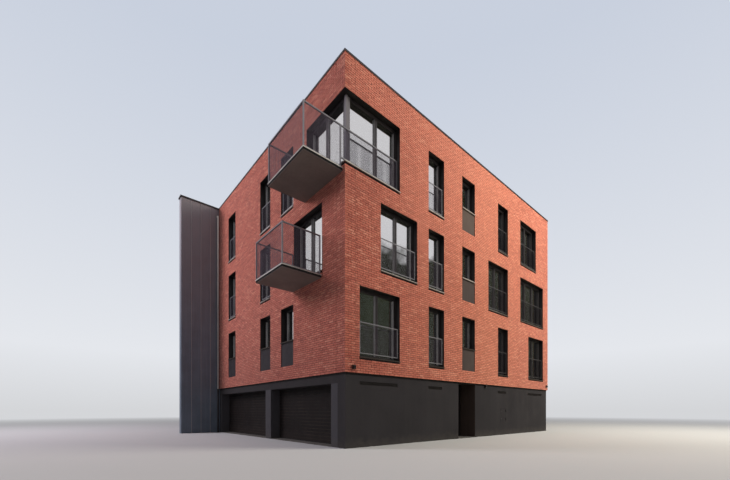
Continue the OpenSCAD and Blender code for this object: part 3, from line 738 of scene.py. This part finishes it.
def door_finish():
    """Near-black coating, with a painted highlight along the ribs of the garage doors and dust at their foot.
    """
    door = coated_finish("dark_door_coat", (24, 20, 20), (30, 25, 25), 0.6)
    x, _, z = door.xyz()
    # Painted highlight along each rib edge of the garage doors
    rib = door.repeat(z, SLAB_TOP, RIB_PITCH)
    edge = door.sums("MAXIMUM", door.spread(rib, 0.86, 0.92), door.spread(rib, 0.14, 0.08))
    edge = door.times(edge, door.cloud(1.2), door.below(x, LEFT.corner.x + 1.0))
    door.tint(edge, 0.4, (84, 74, 66))
    door.tint(door.foot(0.02, 0.5), 0.2, (70, 62, 58))
    door.set("Specular IOR Level", 0.25)
    return door


def pipe_finish():
    """Zinc pipe with a painted sky reflection, brightest at the top, on a dark standpipe along the base."""
    pipe = coated_finish("zinc_pipe", (160, 156, 154), (180, 176, 174), 0.45, 0.3, 4.0)
    z = pipe.xyz()[2]
    # Painted sky reflection, brightest at the top
    pipe.tint(pipe.spread(z, *PIPE_REFLECTION_HEIGHT), 0.8, (242, 236, 228))
    pipe.tint(pipe.below(z, BASE_TOP), 1, (46, 44, 47))
    return pipe


def glass_finish():
    """Coated double glazing: strong reflections with a slight waviness, dim to look through."""
    glass = Finish("coated_glazing", 0.8)
    glass.paint((0.82, 0.84, 0.82))
    glass.set("Roughness", 0.015)
    glass.set("Transmission Weight", 1.0)
    glass.set("IOR", 1.5)
    glass.bump(glass.noise(glass.place, 1.1, 1.0), 0.12, 0.02)
    return glass


def sill_finish():
    """Pale coated sheet, darker the lower it is, with a painted dark reflection at the far end and a painted
    shadow along its drip edge.
    """
    sill = coated_finish("sill_sheet", (170, 162, 155), (196, 187, 179), 0.6, 0.1, 6.0, 0.2)
    z = sill.xyz()[2]
    height_share = sill.spread(z, SILL_BOTTOM + 1.0, SILL_BOTTOM + STOREY + 0.9)
    # Painted dark reflection towards the far end
    near = sill.sums("SUBTRACT", 1.0, sill.times(sill.at(FAR_PAINTED_DARK), 0.8))
    sill.paint(sill.mix(sill.times(height_share, near), linear(66, 60, 55), sill.colour))
    # Painted shadow along the drip edge of each sill
    drip = sill.below(sill.repeat(z, SILL_BOTTOM, STOREY), SILL_SHADOW_BAND / STOREY)
    sill.tint(drip, 0.85, (40, 36, 34))
    return sill


def lens_finish():
    """Frosted lens with fine ribs."""
    lens = Finish("lamp_lens")
    frosting = lens.grain(80.0, 0.5)
    lens.shade(frosting, (116, 113, 106), (134, 131, 124), 0.3, 0.7)
    lens.rough(frosting, 0.28, 0.45, 0.3, 0.7)
    ribs = lens.node("ShaderNodeTexWave", Vector=lens.place, Scale=60.0)
    lens.bump(ribs.outputs["Fac"], 0.3, 0.001)
    return lens


def concrete_finish():
    """Plain cast concrete with dark pores."""
    concrete = Finish("plain_concrete")
    concrete.shade(concrete.cloud(2.0), PLASTER_DARK, PLASTER_PALE)
    pores = concrete.grain(140.0, 0.5)
    concrete.tint(concrete.spread(pores, 0.42, 0.3), 0.4, (70, 68, 66))
    concrete.rough(pores, 0.78, 0.9, 0.3, 0.7)
    concrete.bump(pores, 0.4, 0.002)
    return concrete


def sheeting_finish():
    """Mineral roof sheeting: each sheet has its own tone, its lap is a dark welded line."""
    sheet = coated_finish("roof_sheeting", (62, 62, 64), (80, 80, 82), 0.85, 0.0, 0.7, 0.1)
    sheet.tint(sheet.tone(), 0.45, (104, 102, 100))
    stone = sheet.grain(260.0)
    sheet.tint(sheet.spread(stone, 0.5, 0.7), 0.35, (128, 126, 122))
    lap = sheet.spread(sheet.repeat(sheet.xyz()[0], -ROOF_INNER / 2, SHEET_STEP), 0.035, 0.02)
    sheet.tint(lap, 0.85, (28, 28, 29))
    sheet.rough(stone, 0.78, 0.94, 0.3, 0.7)
    return sheet


BRICK = brick_finish()
WALL = wall_finish()
RENDER = base_finish()
PIER = render_finish("pier_render", (62, 60, 64), (72, 70, 74))
RECESS = render_finish("recess_render", (68, 55, 49), (76, 62, 56))
CONCRETE = concrete_finish()
FRAME = coated_finish("frame_coat", FRAME_DARK, FRAME_PALE, 0.4)
# Painted shade: frames on the garage side are darkened
FRAME.tint(FRAME.at(GARAGE_SIDE), 0.9, (24, 21, 22))
CORNER_FRAME = corner_frame_finish()
LINING = coated_finish("lining_coat", (25, 21, 21), (32, 27, 27), 0.5)
CAP = coated_finish("cap_coat", (40, 36, 38), (50, 46, 47), 0.5)
BLACK = coated_finish("black_trim", (15, 13, 13), (20, 18, 18), 0.7)
CLADDING = cladding_finish()
SOFFIT = soffit_finish()
RAIL = rail_finish()
WIRE_COAT = wire_finish()
GLASS = glass_finish()
SILL = sill_finish()
FLASHING = coated_finish("flashing_sheet", (196, 190, 184), (222, 216, 208), 0.55, 0.1, 7.0, 0.2)
# A painted highlight for the upright glazing beads, with a painted dark reflection towards the far end
BEAD = coated_finish("bead_sheet", (184, 181, 182), (202, 199, 200), 0.45, 0.0, 5.0)
BEAD.tint(BEAD.at(FAR_PAINTED_DARK), 0.9, (64, 59, 56))
SEALANT = coated_finish("joint_sealant", (112, 62, 54), (122, 70, 60), 0.8)
PANEL = panel_finish()
DOOR = door_finish()
ZINC = pipe_finish()
STEEL = coated_finish("brushed_steel", (118, 116, 116), (146, 144, 144), 0.35, 0.8, 9.0)
LENS = lens_finish()
SHEETING = sheeting_finish()
VENT = coated_finish("vent_coat", (38, 34, 33), (46, 41, 40), 0.6)

FINISH_OF = {
    "brick": WALL, "base_render": RENDER, "concrete": CONCRETE, "dark_metal": FRAME,
    "cladding": CLADDING, "soffit": SOFFIT, "railing": RAIL, "glass": GLASS, "sill_metal": SILL,
    "panel": PANEL, "door_metal": DOOR, "cabinet_paint": RENDER, "zinc": ZINC,
}
OWN_FINISH = {
    "reveal_linings": LINING, "corner_frame": CORNER_FRAME, "coping": CAP, "screen_cap": CAP,
    "entrance_niche": RECESS, "cabinet_box": RENDER, "vent_grilles": VENT, "garage_piers": PIER,
}


def finish_nodes():
    for entry in frame["record"]["subparts"]:
        piece = nodes[entry["node"]]
        finish = OWN_FINISH.get(entry["node"]) or FINISH_OF[entry["material_slot"]]
        piece.data.materials.clear()
        piece.data.materials.append(finish.material)


finish_nodes()

# Brickwork: stretcher bond with raked joints, cut round every opening
JOINT = 0.0115
COURSE = 0.0775
STEPS = 62
STEP = SIDE_X / STEPS
RELIEF = 0.006
SHORTEST = 0.025
BRICK_TOP = BRICK_HIGH.z - 0.045
SCREEN_LAP = 0.02
MOVEMENT_JOINTS = {"front": (0.44, 6.57), "left": (0.44,), "back": (6.57,), "right": (7.9,)}
MOVEMENT_W = 0.014


def brick_unit():
    """A brick 1 m each way, open at the back, its face towards -y slightly drawn in."""
    unit = new_cube()
    edit_mode()
    select_faces(unit, lambda c, n: n.y > 0.9)
    bpy.ops.mesh.delete(type="FACE")
    select_faces(unit, lambda c, n: n.y < -0.9)
    bpy.ops.transform.resize(value=(0.985, 1, 0.955))
    return unit_made("brick_unit")


def cut_round(field, holes):
    """What is left of a field (u0, u1, z0, z1) round the holes that reach into it."""
    left = [field]
    for h in holes:
        kept = []
        for u0, u1, z0, z1 in left:
            if h[0] >= u1 or h[1] <= u0 or h[2] >= z1 or h[3] <= z0:
                kept.append((u0, u1, z0, z1))
                continue
            a, b = max(u0, h[0]), min(u1, h[1])
            sides = [(u0, a, z0, z1), (b, u1, z0, z1), (a, b, z0, h[2]), (a, b, h[3], z1)]
            kept += [s for s in sides if s[1] - s[0] > SHORTEST and s[3] - s[2] > SHORTEST / 2]
        left = kept
    return left


def course_spans(facade, course):
    """Where the bricks of a course start and end; the front's and back's cover the corners."""
    side = facade in (LEFT, RIGHT)
    reach = 0 if side else RELIEF
    shift = (course + side) % 2 * STEP / 2
    spans = []
    for k in range(-1, STEPS + 1):
        u0 = max(k * STEP + shift + JOINT / 2, 0)
        u1 = min((k + 1) * STEP + shift - JOINT / 2, facade.length)
        if u1 - u0 < SHORTEST:
            continue
        if u0 < JOINT:
            u0 = -reach
        if u1 > facade.length - JOINT:
            u1 = facade.length + reach
        spans.append((u0, u1))
    return spans


def facade_bricks(facade):
    """Places of a facade's bricks, course by course from the base up."""
    holes = wall_openings(facade)
    for u in MOVEMENT_JOINTS[facade.name]:
        holes.append((u - MOVEMENT_W / 2, u + MOVEMENT_W / 2, 0, BRICK_HIGH.z))
    if facade is LEFT:
        holes.append((SCREEN[0] + SCREEN_LAP, SCREEN[1] - SCREEN_LAP, 0, BRICK_HIGH.z))
    places = []
    course = 0
    z = BASE_TOP
    while z < BRICK_TOP - SHORTEST:
        low = z + JOINT / 2
        high = min(z + COURSE - JOINT / 2, BRICK_TOP)
        near = [h for h in holes if h[2] < high and h[3] > low]
        for span in course_spans(facade, course):
            for u0, u1, z0, z1 in cut_round((*span, low, high), near):
                places.append(facade.bar((u0, u1), (-RELIEF, 0), (z0, z1)))
        course += 1
        z += COURSE
    return places


def lay_bricks():
    unit = brick_unit()
    for facade in FACADES:
        lay(facade.name + "_bricks", unit, facade_bricks(facade), BRICK)
    drop(unit)


lay_bricks()


# Woven wire in the railings and guards
RAILING_WIRE = 0.0032
GUARD_WIRE = 0.0015
UPRIGHT_PITCH = 0.0165
LEVEL_PITCH = 0.05


def wire_unit():
    """An upright square wire 1 m long and thick, open at its ends."""
    deselect()
    bpy.ops.mesh.primitive_cylinder_add(vertices=4, radius=0.5, depth=1, end_fill_type="NOTHING")
    edit_mode()
    bpy.ops.mesh.select_all(action="SELECT")
    bpy.ops.transform.rotate(value=math.radians(45), orient_axis="Z", center_override=(0, 0, 0))
    return unit_made("wire_unit")


def wires_in(box, thick):
    """Upright and level wires that fill a thin upright box."""
    low, high = box
    size = high - low
    along = Vector((1, 0, 0)) if size.x > size.y else Vector((0, 1, 0))
    across = Vector((along.y, along.x, 0))
    middle = (low + high) / 2
    length = size.dot(along)
    level_turn = (0, math.radians(90), 0) if along.x else (math.radians(90), 0, 0)
    places = []
    count = round(length / UPRIGHT_PITCH)
    for k in range(1, count):
        at = middle + along * (k * length / count - length / 2) - across * thick / 2
        places.append((at, (thick, thick, size.z), (0, 0, 0), random.random()))
    rows = round(size.z / LEVEL_PITCH)
    for k in range(1, rows):
        at = middle + across * thick / 2
        at.z = low.z + k * size.z / rows
        places.append((at, (thick, thick, length), level_turn, random.random()))
    return places


def weave_all():
    """Wires instead of the mesh nodes of the railings and guards."""
    unit = wire_unit()
    for place, thick in (("upper", RAILING_WIRE), ("lower", RAILING_WIRE), ("guard", GUARD_WIRE)):
        places = []
        for box in solids(place + "_mesh"):
            places += wires_in(box, thick)
        piece = lay(place + "_wires", unit, places, WIRE_COAT)
        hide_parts(place + "_mesh")
    drop(unit)


weave_all()


# Small sheet and bar work, laid as chamfered bars
def bar_unit():
    """A bar 1 m each way with chamfered edges."""
    unit = new_cube()
    unit.name = "bar_unit"
    chamfer(unit, 0.06)
    return unit


def bolt_unit():
    """A hexagon head on a washer, 1 m across the washer, standing out towards -y."""
    washer_h = 0.12
    head_h = 0.28
    deselect()
    bpy.ops.mesh.primitive_cylinder_add(vertices=12, radius=0.5, depth=washer_h,
                                        location=(0, -washer_h / 2, 0), rotation=(math.radians(90), 0, 0))
    unit = bpy.context.object
    bpy.ops.object.transform_apply(location=True, rotation=True)
    edit_mode()
    select_faces(unit, lambda c, n: n.y < -0.9)
    bpy.ops.mesh.inset(thickness=0.14)
    bpy.ops.mesh.extrude_region_move(TRANSFORM_OT_translate={"value": (0, -head_h, 0)})
    bpy.ops.mesh.inset(thickness=0.05)
    bpy.ops.transform.translate(value=(0, -0.05, 0))
    select_faces(unit, lambda c, n: n.y > 0.9)
    bpy.ops.mesh.delete(type="FACE")
    return unit_made("bolt_unit")


BAR = bar_unit()
BOLT = bolt_unit()
BEAD_T = 0.004
BEAD_FACE = set_in(FRONT, "frames")[0][2] + 0.008
SILL_LIP_H = 0.025


def ends(low, high, thick):
    """The two strips of a given thickness at the ends of a span."""
    return (low, low + thick), (high - thick, high)


def ring(facade, us, depth, zs, wide):
    """Two upright and two level bars round the inside of a field."""
    upright = [facade.bar(u, depth, zs) for u in ends(*us, wide)]
    level = [facade.bar((us[0] + wide, us[1] - wide), depth, z) for z in ends(*zs, wide)]
    return upright, level


def lay_beads():
    """Glazing beads from the sash face back to the glass; the upright ones carry a painted highlight."""
    upright = []
    level = []
    for facade in FACADES:
        for u0, u1, d0, _, z0, z1 in panes(facade):
            bars = ring(facade, (u0, u1), (BEAD_FACE, d0), (z0, z1), BEAD_T)
            upright += bars[0]
            level += bars[1]
    lay("upright_beads", BAR, upright, BEAD)
    lay("level_beads", BAR, level, FRAME)


def lay_gaskets():
    """Black gaskets round each pane, against its outer face."""
    wide = 0.008
    thick = 0.003
    places = []
    for facade in FACADES:
        for u0, u1, d0, _, z0, z1 in panes(facade):
            us = (u0 + BEAD_T, u1 - BEAD_T)
            zs = (z0 + BEAD_T, z1 - BEAD_T)
            places += sum(ring(facade, us, (d0 - thick, d0), zs, wide), [])
    lay("pane_gaskets", BAR, places, BLACK)


def lay_sill_shadow_strips():
    """Black strips under the sill lips, in front of the bricks: a painted shadow under each lip."""
    tall = 0.05
    out = 0.012
    lap = 0.004
    places = []
    for facade in FACADES:
        panels = on_facade(facade, "spandrel_panels")
        for f in set_in(facade, "frames"):
            if not any(abs(p[0] - f[0]) < EDGE_SLACK and abs(p[5] - f[4]) < EDGE_SLACK for p in panels):
                z = f[4] - SILL_LIP_H
                places.append(facade.bar((f[0] - lap, f[1] + lap), (-out, 0), (z - tall, z)))
    z = CORNER_BOX[0].z - SILL_LIP_H
    for facade, start in ((FRONT, -out), (LEFT, 0)):
        places.append(facade.bar((start, facade.flat(CORNER_BOX)[1]), (-out, 0), (z - tall, z)))
    lay("sill_aprons", BAR, places, BLACK)


def lay_vent_strips():
    """Black air inlet strips that close the gap under the brick, in butted lengths; their black also paints
    the shade in that gap.
    """
    tall = 0.055
    out = 0.016
    length = 1.2
    butt = 0.001
    start = BASE_SETBACK - out
    places = []
    for facade in FACADES:
        end = facade.length - start
        stretches = [(start, SCREEN[0]), (SCREEN[1], end)] if facade is LEFT else [(start, end)]
        for a, b in stretches:
            count = max(1, round((b - a) / length))
            for k in range(count):
                u = (a + (b - a) * k / count + butt, a + (b - a) * (k + 1) / count - butt)
                places.append(facade.bar(u, (start, BASE_SETBACK + butt), (BASE_TOP - tall, BASE_TOP)))
    lay("vent_strips", BAR, places, BLACK)


def lay_movement_joints():
    """Sealant in the upright joints, between the openings that they pass."""
    depth = (-0.002, 0.001)
    half = MOVEMENT_W / 2
    places = []
    for facade in FACADES:
        for u in MOVEMENT_JOINTS[facade.name]:
            strip = (u - SHORTEST, u + SHORTEST, BASE_TOP, BRICK_TOP)
            for _, _, low, high in cut_round(strip, wall_openings(facade)):
                places.append(facade.bar((u - half, u + half), depth, (low, high)))
    lay("movement_joints", BAR, places, SEALANT)


def lay_flashings():
    """Pale edge sheets round the balconies' tops."""
    out = 0.003
    lap = 0.012
    tall = 0.024
    wall_gap = -0.002
    places = []
    for name in ("upper_balcony", "lower_balcony"):
        v0, v1, d0, _, _, z1 = LEFT.flat(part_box(name))
        z = (z1 - tall, z1 + out)
        places.append(LEFT.bar((v0 - out, v1 + out), (d0 - out, d0 + lap), z))
        for v in ((v0 - out, v0 + lap), (v1 - lap, v1 + out)):
            places.append(LEFT.bar(v, (d0 + lap, wall_gap), z))
    lay("balcony_flashings", BAR, places, FLASHING)


def lay_bolts():
    """Bolt heads on the guards' tabs and the panels."""
    tab_side, tab_low, tab_high, tab_head = 0.02, 0.192, 0.168, 0.022
    panel_side, panel_low, panel_high, panel_head = 0.05, 0.06, 0.09, 0.012
    places = []

    def add(facade, us, depth, zs, head):
        for u in us:
            for z in zs:
                places.append((facade.point(u, depth, z), (head,) * 3, (0, 0, facade.turn), random.random()))

    for facade in FACADES:
        for u0, u1, d0, _, z0, z1 in on_facade(facade, "window_guards"):
            add(facade, (u0 + tab_side, u1 - tab_side), d0, (z0 + tab_low, z1 - tab_high), tab_head)
        for u0, u1, d0, _, z0, z1 in on_facade(facade, "spandrel_panels"):
            us = (u0 + panel_side, (u0 + u1) / 2, u1 - panel_side)
            add(facade, us, d0, (z0 + panel_low, z1 - panel_high), panel_head)
    lay("guard_bolts", BOLT, places, RAIL)


def lay_rail_feet():
    """Foot plates of the railing posts on the balconies, with two bolts each."""
    wide = 0.1
    half = 0.03
    thick = 0.008
    edge = 0.015
    inset = 0.02
    head = 0.02
    up = (math.radians(-90), 0, 0)
    plates = []
    bolts = []
    for slab in ("upper_balcony", "lower_balcony"):
        v0, v1, d0, _, _, top = LEFT.flat(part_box(slab))
        for v, inward in ((v0 + edge + inset, 0.4 * wide), (v1 - edge - inset, -0.4 * wide)):
            middle = v + inward
            for d in (d0 + edge + inset, (d0 + edge) / 2, -inset - 0.05):
                span = (middle - wide / 2, middle + wide / 2)
                plates.append(LEFT.bar(span, (d - half, d + half), (top, top + thick)))
                for s in (-half, half):
                    bolts.append((LEFT.point(middle + s, d, top + thick), (head,) * 3, up, random.random()))
    lay("rail_feet", BAR, plates, RAIL)
    lay("rail_foot_bolts", BOLT, bolts, STEEL)


def lay_coping_straps():
    """Folded straps over the butt joints of the coping."""
    pitch = 2.9
    wide = 0.09
    thick = 0.0025
    fold = 0.03
    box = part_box("coping")
    top = box[1].z
    places = []
    for facade in FACADES:
        face = facade.flat(box)[2]
        count = round(facade.length / pitch)
        for k in range(1, count):
            u = facade.length * k / count
            span = (u - wide / 2, u + wide / 2)
            places.append(facade.bar(span, (face - thick, WALL_T), (top, top + thick)))
            places.append(facade.bar(span, (face - thick, face), (top - fold, top)))
    lay("coping_straps", BAR, places, CAP)


def lay_upstands():
    """Roof sheeting turned up behind the parapet and held by a clamping bar."""
    thick = 0.008
    top = ROOF_TOP + 0.3
    clamp_h = 0.04
    sheets = []
    clamps = []
    for facade in FACADES:
        span = (WALL_T, facade.length - WALL_T)
        sheets.append(facade.bar(span, (WALL_T, WALL_T + thick), (ROOF_TOP, top)))
        clamps.append(facade.bar(span, (WALL_T + thick, WALL_T + 2 * thick), (top - clamp_h, top)))
    lay("roof_upstands", BAR, sheets, SHEETING)
    lay("clamping_bars", BAR, clamps, STEEL)


def sheet_unit():
    """A roof sheet 1 m by 1 m by 1 m whose top is drawn in and raised."""
    unit = new_cube()
    edit_mode()
    select_faces(unit, lambda c, n: n.z > 0.9)
    bpy.ops.mesh.inset(thickness=0.04)
    bpy.ops.transform.translate(value=(0, 0, 0.2))
    return unit_made("sheet_unit")


def lay_roof_sheets():
    """Sheets of roofing side by side, each lapping the next."""
    unit = sheet_unit()
    lap = 0.08
    thick = 0.004
    length = SIDE_Y - 2 * WALL_T - 0.02
    count = round(ROOF_INNER / SHEET_STEP)
    lean = math.atan(thick / SHEET_STEP)
    places = []
    for k in range(count):
        over = lap if k + 1 < count else 0
        x = -ROOF_INNER / 2 + SHEET_STEP * (k + 0.5) + over / 2
        size = (SHEET_STEP + over, length, thick)
        places.append(((x, 0, ROOF_TOP + thick), size, (0, -lean, 0), random.random()))
    lay("roof_sheets", unit, places, SHEETING)
    drop(unit)


def lay_lenses():
    """Lenses under the wall lamps."""
    share = 0.7
    thick = 0.006
    places = []
    for low, high in solids("wall_lamps"):
        middle = (low + high) / 2
        size = ((high.x - low.x) * share, (high.y - low.y) * share, thick)
        places.append(((middle.x, middle.y, low.z - thick / 3), size, (0, 0, 0), random.random()))
    lay("lamp_lenses", BAR, places, LENS)


def lay_door_seals():
    """Rubber seals along the foot of the garage doors."""
    tall = 0.03
    out = 0.012
    lap = 0.01
    places = []
    for box in solids("garage_doors"):
        v0, v1, d0, _, z0, _ = LEFT.flat(box)
        places.append(LEFT.bar((v0, v1), (d0 - out, d0 + lap), (z0, z0 + tall)))
    lay("door_seals", BAR, places, BLACK)


def rod(start, end, radius, sides=16):
    """A round bar with chamfered ends from start to end."""
    start, end = Vector(start), Vector(end)
    deselect()
    turn = (end - start).to_track_quat("Z", "Y").to_euler()
    bpy.ops.mesh.primitive_cylinder_add(vertices=sides, radius=radius, depth=(end - start).length,
                                        location=(start + end) / 2, rotation=turn)
    made = bpy.context.object
    bpy.ops.object.transform_apply(location=True, rotation=True)
    chamfer(made, radius * 0.2)
    return made


def joined(parts):
    activate(parts[0])
    for part in parts[1:]:
        part.select_set(True)
    bpy.ops.object.join()
    return parts[0]


def lock_rose(centre, radius):
    """A round escutcheon with a raised cylinder that has a key slot, facing -y."""
    centre = Vector(centre)
    core_end = centre + Vector((0, -0.014, 0))
    plate = rod(centre, centre + Vector((0, -0.008, 0)), radius, 24)
    core = rod(centre, core_end, radius * 0.45, 24)
    edit_mode()
    select_faces(core, lambda c, n: n.y < -0.9 and (c - core_end).length < 0.002)
    bpy.ops.mesh.inset(thickness=radius * 0.12)
    bpy.ops.transform.resize(value=(0.18, 1, 0.75))
    bpy.ops.mesh.extrude_region_move(TRANSFORM_OT_translate={"value": (0, 0.006, 0)})
    bpy.ops.object.mode_set(mode="OBJECT")
    return joined([plate, core])


def fit_entrance():
    """Pull bar and lock on the entrance door, which move with it."""
    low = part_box("entrance_door")[0]
    x = low.x + 0.09
    out = low.y - 0.055
    radius = 0.014
    bottom = GROUND + 0.95
    top = GROUND + 1.55
    stay = 0.1
    parts = [rod((x, out, bottom), (x, out, top), radius)]
    for z in (bottom + stay, top - stay):
        parts.append(rod((x, low.y, z), (x, out, z), radius * 0.7))
    finish_piece(joined(parts), "pull_bar", STEEL, "entrance_leaf")
    rose = lock_rose((x, low.y, bottom - 0.12), 0.026)
    finish_piece(rose, "entrance_lock", STEEL, "entrance_leaf")


def fit_cabinet():
    """Quarter-turn locks on the meter cabinet, which move with its door."""
    low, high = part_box("cabinet_door")
    x = low.x + 0.045
    inset = 0.14
    for k, z in enumerate((low.z + inset, high.z - inset), 1):
        rose = lock_rose((x, low.y, z), 0.012)
        finish_piece(rose, "cabinet_lock_%d" % k, STEEL, "cabinet_leaf")


lay_coping_straps()
lay_upstands()
lay_roof_sheets()
lay_lenses()
lay_door_seals()
lay_gaskets()
fit_entrance()
fit_cabinet()
lay_beads()
lay_sill_shadow_strips()
lay_vent_strips()
lay_movement_joints()
lay_flashings()
lay_bolts()
lay_rail_feet()
drop(BAR)
drop(BOLT)

# Studio: pale floor, pale backdrop, soft light from the right and a softer one from the left
FLOOR_SIZE = 600
FLOOR_COLOUR = (0.52, 0.51, 0.51)
BOUNCE_LEFT = (0.36, 0.35, 0.35)
BOUNCE_FRONT = (0.25, 0.25, 0.21)
BOUNCE_CHANGE = (-9.0, -2.0)
FLOOR_FADE = (16.0, 60.0)
FLOOR_FAR = (0.66, 0.67, 0.69)
BACKDROP = (0.78, 0.80, 0.84)
BACKDROP_TOP = (0.58, 0.63, 0.73)
WORLD_COLOUR = (0.95, 0.95, 1.0)
WORLD_LIGHT = 0.27
ROOM_DIM = 0.14
MIRROR_LIGHT = 0.83
MIRROR_SKY = (0.99, 0.95, 1.0)
BANK_DARK = (0.017, 0.019, 0.006)
BANK_HINT = (0.048, 0.052, 0.020)
BANK_THIN = (0.046, 0.044, 0.028)
BANK_CREST = (0.20, 0.18, 0.18)
BANK_SIDE = (0.766, 0.643, 0.0)
BANK_RISE = 0.16
BANK_LEFT = 0.16
BANK_RIGHT = 0.40


def set_floor():
    """Pale floor that takes the backdrop's colour far from the block."""
    deselect()
    bpy.ops.mesh.primitive_plane_add(size=FLOOR_SIZE, location=(0, 0, GROUND - 0.001))
    floor = bpy.context.object
    floor.name = "floor"
    pale = Finish("pale_floor")
    pale.set("Roughness", 0.9)
    bounce = pale.mix(pale.spread(pale.xyz()[0], *BOUNCE_CHANGE), BOUNCE_LEFT, BOUNCE_FRONT)
    camera_ray = pale.node("ShaderNodeLightPath").outputs["Is Camera Ray"]
    pale.paint(pale.mix(camera_ray, bounce, FLOOR_COLOUR))
    floor.data.materials.append(pale.material)
    reach = pale.node("ShaderNodeVectorMath", operation="LENGTH")
    pale.feed(reach.inputs[0], pale.place)
    share = pale.times(pale.spread(reach.outputs["Value"], *FLOOR_FADE), camera_ray)
    far = pale.node("ShaderNodeEmission", Color=FLOOR_FAR).outputs[0]
    surface = pale.blend(share, pale.shader.outputs[0], far)
    pale.feed(pale.tree.nodes["Material Output"].inputs["Surface"], surface)


def mirrored_sky(net, direction):
    """What glass and metal mirror: pale above, with a dark bank round the foot, higher on one side."""
    x, _, height = net.axes(direction)
    facing = net.node("ShaderNodeVectorMath", operation="DOT_PRODUCT")
    net.feed(facing.inputs[0], direction)
    facing.inputs[1].default_value = BANK_SIDE
    bank = net.sums("ADD", net.spread(facing.outputs["Value"], 0.20, 0.25, 0.0, BANK_RISE),
                    net.spread(x, -0.3, 0.3, BANK_LEFT, BANK_RIGHT))
    ragged = net.spread(net.noise(direction, 8.0, 4.0, 0.6), 0.3, 0.7, -0.035, 0.035)
    above = net.sums("ADD", net.sums("SUBTRACT", height, bank), ragged)
    hints = net.spread(net.noise(net.drawn_up(direction, 0.12), 12.0, 1.0), 0.5, 0.8)
    dark = net.mix(hints, BANK_DARK, BANK_HINT)
    thin = net.mix(net.spread(above, -0.20, -0.06), BANK_THIN, BANK_CREST)
    dark = net.mix(net.spread(x, 0.74, 0.86), dark, thin)
    return net.mix(net.spread(above, -0.01, 0.015), dark, MIRROR_SKY)


def set_world():
    """The camera sees the backdrop, mirrors the pale sky and its bank, the rest a plain light."""
    world = bpy.data.worlds.new("backdrop")
    world.use_nodes = True
    bpy.context.scene.world = world
    net = Net(world.node_tree)
    net.tree.nodes.clear()
    direction = net.node("ShaderNodeTexCoord").outputs["Generated"]
    path = net.node("ShaderNodeLightPath").outputs
    indoors = net.times(path["Is Transmission Ray"], net.above(path["Diffuse Depth"], 0.5))
    level = net.spread(indoors, 0.0, 1.0, WORLD_LIGHT, WORLD_LIGHT * ROOM_DIM)
    light = net.glow(WORLD_COLOUR, level)
    mirror = net.glow(mirrored_sky(net, direction), MIRROR_LIGHT)
    pale = net.ramp(net.axes(direction)[2], [(0.0, FLOOR_FAR), (0.14, BACKDROP), (0.7, BACKDROP_TOP)])
    through = net.sums("SUBTRACT", path["Is Transmission Ray"], indoors)
    direct = net.sums("MAXIMUM", path["Is Camera Ray"], through)
    lit = net.blend(path["Is Glossy Ray"], light, mirror)
    net.node("ShaderNodeOutputWorld", Surface=net.blend(direct, lit, net.glow(pale, 1.0)))


def soft_lamp(name, place, aim, power, size, colour):
    data = bpy.data.lights.new(name, "AREA")
    data.size = size
    data.energy = power
    data.color = colour
    lamp = bpy.data.objects.new(name, data)
    lamp.location = place
    lamp.rotation_euler = (Vector(aim) - Vector(place)).to_track_quat("-Z", "Y").to_euler()
    lamp.visible_glossy = False
    lamp.visible_transmission = False
    lamp.visible_camera = False
    bpy.context.scene.collection.objects.link(lamp)


set_floor()
set_world()
soft_lamp("key", place=(12.5, -23.5, 18.0), aim=(7.5, -7.8, 9.5), power=8500, size=14,
          colour=(1.0, 0.97, 0.84))
soft_lamp("fill", place=(-27, 12, 18), aim=(-7.8, 2, 8.5), power=5600, size=9,
          colour=(0.96, 0.92, 1.0))
bpy.context.scene.view_settings.view_transform = "Standard"
